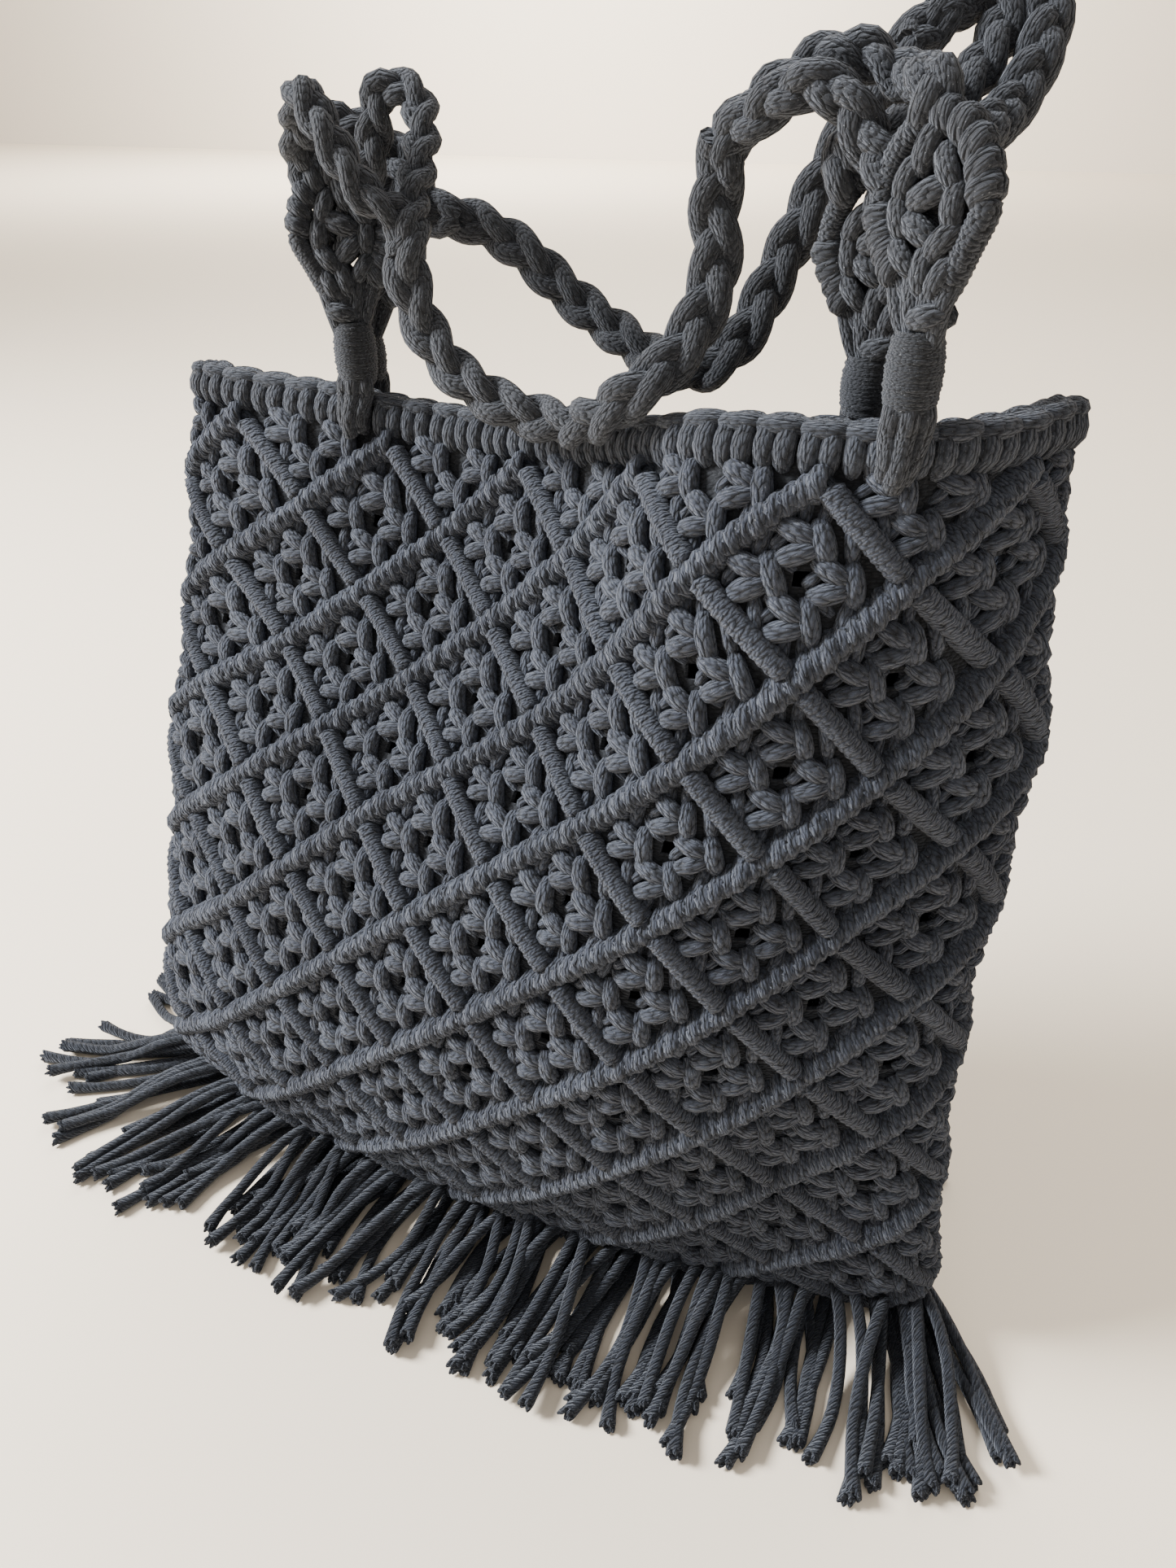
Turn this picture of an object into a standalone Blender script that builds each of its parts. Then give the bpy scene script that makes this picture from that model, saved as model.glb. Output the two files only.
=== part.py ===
# Macrame tote bag worked in thick cotton cord. Metres, +Z up, front facing -Y, standing on z = 0.
import math

import bmesh
import bpy
from mathutils import Vector

for leftover in list(bpy.data.objects):
    bpy.data.objects.remove(leftover, do_unlink=True)

# Knotted cloth
COLUMN = 0.028             # half a diamond, measured along the cloth across the front
RIM_HEIGHT = 0.313         # middle of the top edge above the table
BELLY_DEPTH = 0.090        # how far the front bulges forward of the side of the mouth
BACK_DEPTH = 0.024         # how far the back stands behind the side of the mouth
RIM_SAG = 0.011            # dip of the rim left of the middle, and rise right of it
BACK_RIM_DROP = 0.010      # the back rim hangs this much lower than the front rim
WALL = 0.008               # thickness of the knotted wall
RIM_WALL = 0.0075          # thickness of the row of knots along the rim
RIM_ROW = 0.0165           # height of that row
RIB_HEIGHT = 0.0030        # diagonal ridges above the wall
RIB_HALF_WIDTH = 0.0058    # from the crest of a ridge to its foot, along a row
KNOT_HEIGHT = 0.0022       # pillow of knots inside each diamond
GAP_HALF = 0.0021          # half the width of the opening in the middle of each diamond
SEAM_DEPTH = 0.036         # bottom seam, forward of the side of the mouth
CLEAR = 0.0003             # gap between pieces that touch

# Handles
WRAP_RADIUS = 0.0086
WRAP_LENGTH = 0.020
TAIL_WIDTH = 0.0165        # folded cord ends below each wrap, over the rim row
TAIL_DEPTH = 0.0085
TAIL_LENGTH = 0.0140
TAIL_SLACK = 0.0010        # the tail is straight while the rim row curves behind it
LEAF_LENGTH = 0.048        # knotted oval between wrap and strap
LEAF_WIDTH = 0.036
LEAF_THICK = 0.0095
BUTTON_RADIUS = 0.0072
BUTTON_HEIGHT = 0.0022
LEAF_BORDER = 0.0078
STRAP_WIDTH = 0.0135
STRAP_THICK = 0.0105
BRANCH_WIDTH = 0.0100
BRANCH_THICK = 0.0085
PLAIT_PITCH = 0.026
PLAIT_SWAY = 0.0011

# Fringe
LOCK_LENGTH = 0.068
LOCK_ROOT_HEIGHT = 0.0075
LOCK_ROOT_SLACK = 0.0020   # the base curves up in front of the root of each lock
LOCK_TIP_HEIGHT = 0.0050
LOCK_TIP_WIDTH = 0.0125

ROWS = 12                  # rows of half diamonds from the rim row to the edge of the base
SIDE_RIGHT = 12            # column on the right side fold; column 0 is the left one
AROUND = 26                # half diamonds all the way round

# Folds of the front. Row of the lattice, level as a share of RIM_HEIGHT, then how far forward the
# cloth stands at seven columns from left to right, as shares of BELLY_DEPTH.
# left_edge is the left side fold, as a share of six COLUMNs left of the middle.
# row, level, side_left, left, mid_left, middle, mid_right, right, side_right, left_edge
FRONT_FOLDS = (
    (-0.6, 1.000, -0.14, -0.10, -0.11, 0.06, 0.36, 0.34, -0.15, 0.895),
    (1.0, 0.875, -0.02, 0.10, 0.08, 0.25, 0.55, 0.44, -0.03, 0.897),
    (3.0, 0.716, 0.14, 0.30, 0.37, 0.53, 0.71, 0.53, 0.11, 0.900),
    (5.0, 0.568, 0.32, 0.59, 0.68, 0.81, 0.88, 0.66, 0.27, 0.912),
    (7.0, 0.407, 0.43, 0.74, 0.88, 0.96, 0.97, 0.78, 0.42, 0.926),
    (9.0, 0.240, 0.56, 0.84, 0.93, 0.98, 0.94, 0.76, 0.52, 0.962),
    (10.5, 0.122, 0.60, 0.81, 0.88, 0.91, 0.86, 0.72, 0.57, 0.972),
    (11.4, 0.056, 0.52, 0.73, 0.80, 0.82, 0.78, 0.68, 0.52, 0.980),
    (12.0, 0.0, 0.40, 0.62, 0.68, 0.70, 0.67, 0.59, 0.40, 0.965),
)
# Folds of the back: how far it stands back at five columns, as shares of BACK_DEPTH.
# row, right, mid_right, middle, mid_left, left
BACK_FOLDS = (
    (-0.6, -0.50, -0.58, 0.46, 1.10, 1.08),
    (1.0, -0.15, -0.20, 0.60, 1.06, 0.98),
    (3.0, 0.50, 0.60, 0.85, 1.04, 0.92),
    (5.0, 0.72, 0.92, 1.04, 1.04, 0.80),
    (7.0, 0.56, 0.84, 0.98, 0.92, 0.60),
    (9.0, 0.20, 0.55, 0.70, 0.58, 0.22),
    (10.5, -0.12, 0.12, 0.25, 0.15, -0.12),
    (11.4, -0.42, -0.22, -0.12, -0.20, -0.42),
    (12.0, -0.85, -0.66, -0.58, -0.66, -0.85),
)
# Width of the cloth between the seven columns, as shares of two COLUMNs.
COLUMN_SHARES = (0.985, 0.995, 1.015, 0.995, 0.975, 0.930)
BASE_END_INSET = 0.012     # the bottom seam stops short of the side folds
# Rise and sag of the rim at the seven front columns, as shares of RIM_SAG, and how it fades by row.
RIM_WAVE = (-0.4, -0.6, -0.95, -0.45, 0.7, 0.9, 0.9)
WAVE_FADE = ((-0.6, 1.0), (1.0, 1.0), (3.0, 0.45), (5.0, 0.0), (12.0, 0.0))
BACK_KNOTS = (15.0, 17.0, 19.0, 21.0, 23.0)


def hermite(knots, values, t):
    # Smooth curve through the knots, held flat beyond both ends.
    if t <= knots[0]:
        return values[0]
    if t >= knots[-1]:
        return values[-1]
    k = 0
    while t > knots[k + 1]:
        k += 1

    def slope(i):
        if i == 0:
            return (values[1] - values[0]) / (knots[1] - knots[0])
        if i == len(knots) - 1:
            return (values[-1] - values[-2]) / (knots[-1] - knots[-2])
        return (values[i + 1] - values[i - 1]) / (knots[i + 1] - knots[i - 1])

    span = knots[k + 1] - knots[k]
    s = (t - knots[k]) / span
    a = values[k]
    b = values[k + 1]
    ta = slope(k) * span
    tb = slope(k + 1) * span
    return (a * (2 * s**3 - 3 * s**2 + 1) + ta * (s**3 - 2 * s**2 + s)
            + b * (3 * s**2 - 2 * s**3) + tb * (s**3 - s**2))


def level(row):
    return hermite([r[0] for r in FRONT_FOLDS], [r[1] for r in FRONT_FOLDS], row) * RIM_HEIGHT


section_cache = {}


def section(row):
    # Knots round one level of the bag: columns, x and y, running front left to right, then the back.
    key = round(row, 5)
    if key in section_cache:
        return section_cache[key]
    rows = [r[0] for r in FRONT_FOLDS]
    front_y = [-BELLY_DEPTH * hermite(rows, [r[2 + k] for r in FRONT_FOLDS], row) for k in range(7)]
    front_x = [0.0]
    for k in range(6):
        chord = 2 * COLUMN * COLUMN_SHARES[k]
        step = front_y[k + 1] - front_y[k]
        front_x.append(front_x[-1] + math.sqrt(max(chord**2 - step**2, (0.5 * chord) ** 2)))
    left_edge = 6 * COLUMN * hermite(rows, [r[9] for r in FRONT_FOLDS], row)
    front_x = [x - left_edge for x in front_x]
    back_y = [BACK_DEPTH * hermite(rows, [r[1 + k] for r in BACK_FOLDS], row) for k in range(5)]
    back_x = [front_x[5 - k] for k in range(5)]
    columns = [0.0, 2.0, 4.0, 6.0, 8.0, 10.0, 12.0] + list(BACK_KNOTS)
    xs = front_x + back_x
    ys = front_y + back_y
    wrapped_columns = [c - AROUND for c in columns[-2:]] + columns + [c + AROUND for c in columns[:3]]
    wrapped_x = xs[-2:] + xs + xs[:3]
    wrapped_y = ys[-2:] + ys + ys[:3]
    section_cache[key] = (wrapped_columns, wrapped_x, wrapped_y)
    return section_cache[key]


def front_column(column):
    # The front column that faces a back column across the bag.
    c = column % AROUND
    if c <= SIDE_RIGHT:
        return c
    return hermite_line((12.0, 15.0, 23.0, 26.0), (12.0, 10.0, 2.0, 0.0), c)


def hermite_line(knots, values, t):
    for k in range(len(knots) - 1):
        if t <= knots[k + 1]:
            s = (t - knots[k]) / (knots[k + 1] - knots[k])
            return values[k] + s * (values[k + 1] - values[k])
    return values[-1]


def cloth(column, row):
    # A point of the middle of the knotted wall.
    c = column % AROUND
    cols, xs, ys = section(min(row, ROWS))
    x = hermite(cols, xs, c)
    y = hermite(cols, ys, c)
    wave = hermite((0, 2, 4, 6, 8, 10, 12), RIM_WAVE, front_column(c)) * RIM_SAG
    fade = hermite_line([w[0] for w in WAVE_FADE], [w[1] for w in WAVE_FADE], max(row, -0.6))
    z = WALL / 2 + level(min(row, ROWS)) * (1 - WALL / 2 / RIM_HEIGHT) + wave * fade
    if c > SIDE_RIGHT:
        z -= BACK_RIM_DROP * fade * math.sin(math.pi * (c - SIDE_RIGHT) / (AROUND - SIDE_RIGHT))
    if row > ROWS:
        share = row - ROWS
        y = y + (-SEAM_DEPTH - y) * share
        x *= 1 - share * BASE_END_INSET / (6 * COLUMN)
    return Vector((x, y, z))


def outward(column, row):
    step = 0.05
    r = min(row, ROWS - 0.02)
    across = cloth(column + step, r) - cloth(column - step, r)
    along = cloth(column, r + step) - cloth(column, r - step)
    return along.cross(across).normalized()


def facing_column(column):
    c = column % AROUND
    if c <= SIDE_RIGHT:
        return hermite_line((0.0, 2.0, 10.0, 12.0), (26.0, 23.0, 15.0, 12.0), c)
    return front_column(c)


def room(column, row):
    # Half the clear depth between the two walls at this place.
    c = column % AROUND
    return (cloth(c, row) - cloth(facing_column(c), row)).length / 2


def outer(column, row, lift=0.0, wall=WALL):
    if row >= ROWS:
        p = cloth(column, row)
        return Vector((p.x, p.y, 0.0))
    return cloth(column, row) + outward(column, row) * (wall / 2 + lift)


def inner(column, row, wall=WALL):
    if row >= ROWS:
        p = cloth(column, row)
        n = outward(round(column, 1), ROWS - 0.5)
        pull = max(0.0, 1 - (row - ROWS) * 1.0) * wall * 0.8
        return Vector((p.x - n.x * pull, p.y - n.y * pull, wall))
    point = cloth(column, row)
    across = cloth(facing_column(column), row) - point
    near = room(column, row)
    plain = point - outward(column, row) * min(wall / 2, near)
    if across.length < 1e-6:
        return point
    folded = point + across.normalized() * min(wall / 2, max(0.0, near - 3 * CLEAR))
    share = min(1.0, max(0.0, near / wall - 0.5))
    return folded.lerp(plain, share)


def new_object(name, bm, colour, roughness=0.95, smooth=35.0):
    bmesh.ops.recalc_face_normals(bm, faces=bm.faces)
    if bm.calc_volume(signed=True) < 0:
        bmesh.ops.reverse_faces(bm, faces=bm.faces)
    mesh = bpy.data.meshes.new(name)
    bm.to_mesh(mesh)
    bm.free()
    mesh.shade_smooth()
    mesh.set_sharp_from_angle(angle=math.radians(smooth))
    ob = bpy.data.objects.new(name, mesh)
    bpy.context.scene.collection.objects.link(ob)
    mat = bpy.data.materials.new(name + "_cord")
    mat.use_nodes = True
    shader = mat.node_tree.nodes["Principled BSDF"]
    shader.inputs["Base Color"].default_value = colour
    shader.inputs["Roughness"].default_value = roughness
    shader.inputs["Metallic"].default_value = 0.0
    mesh.materials.append(mat)
    return ob


CHARCOAL = (0.030, 0.034, 0.042, 1.0)
NAVY_BLACK = (0.016, 0.019, 0.027, 1.0)


def relief(row):
    # Ridges and knots flatten out where the cloth turns under.
    return max(0.0, min(1.0, (11.5 - row) / 1.5))


def has_gap(column, row, first, last):
    return 1 <= row <= 10 and first < column < last


def panel(name, first, last):
    # One side of the bag: diamonds framed by raised diagonal ridges, each with an opening in its middle.
    bm = bmesh.new()
    made = {}
    seam = CLEAR / 2 / COLUMN

    def place(column, row):
        c = min(max(column, first + seam), last - seam)
        return c, row

    def vertex(side, column, row, lift):
        key = (side, round(column, 4), round(row, 4))
        if key not in made:
            c, r = place(column, row)
            if side == "out":
                p = outer(c, r, lift * relief(r))
            else:
                p = inner(c, r)
            if row > ROWS:
                p.y += -CLEAR / 2 if first == 0 else CLEAR / 2
            made[key] = bm.verts.new(p)
        return made[key]

    def along(a, b, share):
        return a[0] + (b[0] - a[0]) * share, a[1] + (b[1] - a[1]) * share

    foot = RIB_HALF_WIDTH / COLUMN
    edge = 1 - GAP_HALF / COLUMN

    def edge_points(node, centre):
        points = [vertex("out", *node, RIB_HEIGHT), vertex("out", *along(node, centre, foot), 0.0),
                  vertex("out", *along(node, centre, 0.62), KNOT_HEIGHT)]
        if has_gap(*centre, first, last):
            points.append(vertex("out", *along(node, centre, edge), KNOT_HEIGHT * 0.4))
        else:
            points.append(vertex("out", *centre, 0.0))
        return points

    def inner_points(node, centre):
        points = [vertex("in", *node, 0.0)]
        if has_gap(*centre, first, last):
            points.append(vertex("in", *along(node, centre, edge), 0.0))
        else:
            points.append(vertex("in", *centre, 0.0))
        return points

    for i in range(first, last):
        for j in range(ROWS):
            corners = [(i, j), (i + 1, j), (i + 1, j + 1), (i, j + 1)]
            if (i + j) % 2 == 0:
                corners = corners[1:] + corners[:1]
            n1, c1, n2, c2 = corners
            for centre in (c1, c2):
                a = edge_points(n1, centre)
                b = edge_points(n2, centre)
                bm.faces.new((a[0], a[1], b[1], b[0]))
                bm.faces.new((a[1], a[2], b[2], b[1]))
                if a[3] is b[3]:
                    bm.faces.new((a[2], a[3], b[2]))
                else:
                    bm.faces.new((a[2], a[3], b[3], b[2]))
                a_in = inner_points(n1, centre)
                b_in = inner_points(n2, centre)
                if a_in[1] is b_in[1]:
                    bm.faces.new((a_in[0], a_in[1], b_in[0]))
                else:
                    bm.faces.new((a_in[0], a_in[1], b_in[1], b_in[0]))
                    bm.faces.new((a[3], a_in[1], b_in[1], b[3]))

    def as_ends(p, q):
        node, centre = (p, q) if (p[0] + p[1]) % 2 else (q, p)
        return edge_points(node, centre), inner_points(node, centre)

    # Base, flat on the table, from the edge of the lattice to the bottom seam
    for i in range(first, last):
        out_points, in_points = as_ends((i, ROWS), (i + 1, ROWS))
        low = [vertex("out", i, ROWS + 1, 0.0), vertex("out", i + 1, ROWS + 1, 0.0)]
        up = [vertex("in", i, ROWS + 1, 0.0), vertex("in", i + 1, ROWS + 1, 0.0)]
        if (i + ROWS) % 2 == 0:
            low.reverse()
            up.reverse()
        bm.faces.new(out_points + [low[1], low[0]])
        bm.faces.new(in_points + [up[1], up[0]])
        bm.faces.new((low[0], low[1], up[1], up[0]))
    # Top edge and side seams close the wall
    borders = [((i, 0), (i + 1, 0)) for i in range(first, last)]
    for c in (first, last):
        borders += [((c, j), (c, j + 1)) for j in range(ROWS)]
    for p, q in borders:
        out_points, in_points = as_ends(p, q)
        for k in range(3):
            bm.faces.new((in_points[0], out_points[k], out_points[k + 1]))
        bm.faces.new((in_points[0], out_points[3], in_points[1]))
    for c in (first, last):
        bm.faces.new((vertex("out", c, ROWS, 0.0), vertex("out", c, ROWS + 1, 0.0),
                      vertex("in", c, ROWS + 1, 0.0), vertex("in", c, ROWS, 0.0)))
    bmesh.ops.triangulate(bm, faces=bm.faces)
    return new_object(name, bm, CHARCOAL)


def rim_row(name, first, last):
    # Row of looped knots along the mouth, with a rounded top, seated on the panel.
    bm = bmesh.new()
    seam = CLEAR / 2 / COLUMN
    low = -CLEAR / COLUMN
    high = low - RIM_ROW / COLUMN
    rings = []
    steps = 2 * (last - first)
    for k in range(steps + 1):
        c = first + (last - first) * k / steps
        c = min(max(c, first + seam), last - seam)
        crown = (outer(c, high, 0.0, RIM_WALL) + inner(c, high, RIM_WALL)) / 2
        ring = [outer(c, low, 0.0, RIM_WALL), outer(c, high + 0.10, 0.0006, RIM_WALL),
                crown + Vector((0, 0, RIM_WALL * 0.30)),
                inner(c, high + 0.10, RIM_WALL), inner(c, low, RIM_WALL)]
        for p in (ring[0], ring[4]):
            p.z += 2 * CLEAR
        rings.append([bm.verts.new(p) for p in ring])
    for a, b in zip(rings, rings[1:]):
        for k in range(5):
            n = (k + 1) % 5
            bm.faces.new((a[k], b[k], b[n], a[n]))
    bm.faces.new(rings[0])
    bm.faces.new(list(reversed(rings[-1])))
    bmesh.ops.triangulate(bm, faces=bm.faces)
    return new_object(name, bm, CHARCOAL)


panel("panel_front", 0, SIDE_RIGHT)
panel("panel_back", SIDE_RIGHT, AROUND)
rim_row("rim_row_front", 0, SIDE_RIGHT)
rim_row("rim_row_back", SIDE_RIGHT, AROUND)


def rim_top(column):
    high = -(CLEAR + RIM_ROW) / COLUMN
    return cloth(column, high)


# Handles. For each handle end: the column of the rim that it comes from, how far the leaf turns
# about the vertical, how far it tips back, and how far it leans to the right, in degrees.
# The last value is the length of the wrap as a share of WRAP_LENGTH.
# name: column, turn, tip, lean, wrap
HANDLE_ENDS = {
    "front_left": (2.55, 28.0, 8.0, -1.0, 1.0),
    "front_right": (9.60, -30.0, 6.0, -3.0, 1.0),
    "back_right": (15.95, -14.0, -3.0, -1.0, 0.78),
    "back_left": (22.9, 30.0, -4.0, 5.0, 0.80),
}


class HandleEnd:
    def __init__(self, name, column, turn, tip, lean, wrap_share):
        self.name = name
        self.column = column
        self.side = -1.0 if column <= SIDE_RIGHT else 1.0
        top = rim_top(column)
        n = outward(column, -0.3)
        n.z = 0
        n.normalize()
        self.out = n
        self.tail = top + n * (RIM_WALL / 2 + CLEAR + TAIL_SLACK + TAIL_DEPTH / 2)
        self.foot = Vector((top.x, top.y, top.z)) + n * (RIM_WALL * 0.75)
        self.foot.z = top.z + RIM_WALL * 0.30 + 4 * CLEAR
        self.wrap_length = WRAP_LENGTH * wrap_share
        t = math.radians(turn)
        b = math.radians(tip)
        s = math.radians(lean)
        right = Vector((math.cos(t), math.sin(t), 0.0))
        back = Vector((-math.sin(t), math.cos(t), 0.0))
        up = (Vector((0, 0, 1)) * math.cos(b) + back * math.sin(b)).normalized()
        self.right = (right * math.cos(s) - up * math.sin(s)).normalized()
        self.up = (up * math.cos(s) + right * math.sin(s)).normalized()
        self.face = self.right.cross(self.up).normalized()
        drop = LEAF_THICK * 0.225 * abs(self.face.z)
        bottom = self.foot + Vector((0, 0, self.wrap_length + CLEAR + drop))
        self.centre = bottom + self.up * (LEAF_LENGTH / 2)

    def radius(self, angle):
        # Leaf outline: an oval, a little pointed below.
        c = math.cos(angle)
        s = math.sin(angle)
        r = 1.0 / math.sqrt((c / (LEAF_WIDTH / 2)) ** 2 + (s / (LEAF_LENGTH / 2)) ** 2)
        low = max(0.0, -s)
        return r * (1 - 0.16 * low * abs(c) * 2)

    def point(self, angle, share_or_radius, height):
        r = share_or_radius
        return (self.centre + self.right * (math.cos(angle) * r) + self.up * (math.sin(angle) * r)
                + self.face * height)


ends = {name: HandleEnd(name, *row) for name, row in HANDLE_ENDS.items()}


def leaf(end):
    # Knotted oval: a thick border, a button in the middle and spokes with openings between them.
    bm = bmesh.new()
    sectors = 14
    open_sectors = (1, 3, 5, 8, 10, 12)
    half = LEAF_THICK / 2
    angles = [math.pi / 2 + 2 * math.pi * k / sectors for k in range(sectors)]
    faces = {}
    for sign in (1, -1):
        rows = {"button": [], "web": [], "ridge": [], "edge": []}
        top = bm.verts.new(end.point(0.0, 0.0, sign * (half + BUTTON_HEIGHT)))
        for a in angles:
            r = end.radius(a)
            rows["button"].append(bm.verts.new(end.point(a, BUTTON_RADIUS, sign * half)))
            rows["web"].append(bm.verts.new(end.point(a, r - LEAF_BORDER, sign * half * 0.72)))
            rows["ridge"].append(bm.verts.new(end.point(a, r - LEAF_BORDER * 0.45, sign * half)))
            rows["edge"].append(bm.verts.new(end.point(a, r, sign * half * 0.45)))
        faces[sign] = (top, rows)
        for k in range(sectors):
            n = (k + 1) % sectors
            bm.faces.new((top, rows["button"][k], rows["button"][n]))
            if k not in open_sectors:
                bm.faces.new((rows["button"][k], rows["web"][k], rows["web"][n], rows["button"][n]))
            bm.faces.new((rows["web"][k], rows["ridge"][k], rows["ridge"][n], rows["web"][n]))
            bm.faces.new((rows["ridge"][k], rows["edge"][k], rows["edge"][n], rows["ridge"][n]))
    front = faces[1][1]
    back = faces[-1][1]
    for k in range(sectors):
        n = (k + 1) % sectors
        bm.faces.new((front["edge"][k], back["edge"][k], back["edge"][n], front["edge"][n]))
        if k in open_sectors:
            bm.faces.new((front["button"][k], back["button"][k], back["button"][n], front["button"][n]))
            bm.faces.new((front["web"][k], back["web"][k], back["web"][n], front["web"][n]))
            for m, before in ((k, -1), (n, 1)):
                other = (m + before) % sectors if before == -1 else m
                if other not in open_sectors:
                    bm.faces.new((front["button"][m], front["web"][m], back["web"][m], back["button"][m]))
    bmesh.ops.triangulate(bm, faces=bm.faces)
    return new_object("leaf_" + end.name, bm, CHARCOAL)


def loft(bm, rings):
    made = [[bm.verts.new(p) for p in ring] for ring in rings]
    count = len(rings[0])
    for a, b in zip(made, made[1:]):
        for k in range(count):
            n = (k + 1) % count
            bm.faces.new((a[k], b[k], b[n], a[n]))
    bm.faces.new(made[0])
    bm.faces.new(list(reversed(made[-1])))


# The wrap and the folded ends below it, from the top down.
# height, sideways, depth and place of each ring: 0 stands over the rim, 1 in front of it.
WRAP_RINGS = (
    ("wrap_top", 0.88, 0.88, 0.0),
    ("wrap_high", 1.0, 1.0, 0.0),
    ("wrap_low", 1.0, 1.0, 0.0),
)


def wrap(end):
    # Cord wound round the handle's cords, and their folded ends lying over the rim row.
    bm = bmesh.new()
    side = Vector((-end.out.y, end.out.x, 0.0))
    sides = 12
    top = end.foot.z + end.wrap_length

    def ring(centre, width, depth):
        return [centre + side * (math.cos(a) * width) + end.out * (math.sin(a) * depth)
                for a in (2 * math.pi * k / sides for k in range(sides))]

    def at(point, z):
        return Vector((point.x, point.y, z))

    heights = {"wrap_top": top, "wrap_high": top - 0.0015, "wrap_low": end.foot.z + 0.0008}
    rings = [ring(at(end.foot, heights[name]), WRAP_RADIUS * w, WRAP_RADIUS * d)
             for name, w, d, place in WRAP_RINGS]
    rings.append(ring(at(end.foot * 0.45 + end.tail * 0.55, end.foot.z), TAIL_WIDTH / 2, TAIL_DEPTH * 0.62))
    for drop, width, depth in ((0.16, 1.0, 1.0), (0.55, 1.0, 1.0), (0.85, 0.92, 0.85), (1.0, 0.62, 0.5)):
        row = -(CLEAR + RIM_ROW - TAIL_LENGTH * drop) / COLUMN
        face = outer(end.column, row, 0.0, RIM_WALL)
        centre = face + end.out * (CLEAR + TAIL_SLACK + TAIL_DEPTH / 2)
        rings.append(ring(centre, TAIL_WIDTH / 2 * width, TAIL_DEPTH / 2 * depth))
    loft(bm, rings)
    bmesh.ops.triangulate(bm, faces=bm.faces)
    return new_object("wrap_" + end.name, bm, CHARCOAL)


for handle_end in ends.values():
    leaf(handle_end)
    wrap(handle_end)


def smooth_path(points, step):
    # Even points along a smooth curve through the chosen ones.
    fine = []
    count = len(points)
    for k in range(count - 1):
        p0 = points[max(k - 1, 0)]
        p1 = points[k]
        p2 = points[k + 1]
        p3 = points[min(k + 2, count - 1)]
        for s in range(12):
            t = s / 12
            fine.append(0.5 * ((2 * p1) + (p2 - p0) * t + (2 * p0 - 5 * p1 + 4 * p2 - p3) * t**2
                               + (3 * p1 - p0 - 3 * p2 + p3) * t**3))
    fine.append(points[-1].copy())
    lengths = [0.0]
    for a, b in zip(fine, fine[1:]):
        lengths.append(lengths[-1] + (b - a).length)
    total = lengths[-1]
    steps = max(3, round(total / step))
    path = []
    k = 0
    for s in range(steps + 1):
        d = total * s / steps
        while k < len(fine) - 2 and lengths[k + 1] < d:
            k += 1
        span = max(lengths[k + 1] - lengths[k], 1e-9)
        path.append(fine[k].lerp(fine[k + 1], (d - lengths[k]) / span))
    return path, total


def plait(name, points, width, thick, step, sides):
    # A plaited rope: an oval section that sways from side to side along the curve.
    path, total = smooth_path(points, step)
    rings = []
    frame_side = None
    for k, p in enumerate(path):
        ahead = path[min(k + 1, len(path) - 1)] - path[max(k - 1, 0)]
        ahead.normalize()
        if frame_side is None:
            frame_side = ahead.cross(Vector((0, -1, 0)))
            if frame_side.length < 0.2:
                frame_side = ahead.cross(Vector((0, 0, 1)))
        frame_side = (frame_side - ahead * frame_side.dot(ahead)).normalized()
        third = ahead.cross(frame_side)
        phase = 2 * math.pi * total * k / (len(path) - 1) / PLAIT_PITCH
        edge = min(1.0, k / 2, (len(path) - 1 - k) / 2)
        sway = PLAIT_SWAY * math.sin(phase) * edge
        centre = p + frame_side * sway
        ring = []
        for s in range(sides):
            a = 2 * math.pi * (s + 0.5) / sides
            ring.append(centre + frame_side * (math.cos(a) * width / 2) + third * (math.sin(a) * thick / 2))
        rings.append(ring)
    bm = bmesh.new()
    loft(bm, rings)
    bmesh.ops.triangulate(bm, faces=bm.faces)
    return new_object(name, bm, CHARCOAL)


def fuse(base, others):
    for other in others:
        cut = base.modifiers.new("join_" + other.name, "BOOLEAN")
        cut.operation = "UNION"
        cut.solver = "EXACT"
        cut.object = other
    depsgraph = bpy.context.evaluated_depsgraph_get()
    mesh = bpy.data.meshes.new_from_object(base.evaluated_get(depsgraph))
    base.modifiers.clear()
    base.data = mesh
    mesh.name = base.name
    for other in others:
        bpy.data.objects.remove(other, do_unlink=True)


HALF_SPAN = 6 * COLUMN * 0.985
STRAP_RISE = 0.110          # the highest loop of a strap above the rim


def route(rows):
    # Chosen points of a strap: across as a share of HALF_SPAN, forward as a share of BELLY_DEPTH,
    # up from RIM_HEIGHT as a share of STRAP_RISE.
    return [Vector((across * HALF_SPAN, -forward * BELLY_DEPTH, RIM_HEIGHT + up * STRAP_RISE))
            for across, forward, up in rows]


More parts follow.
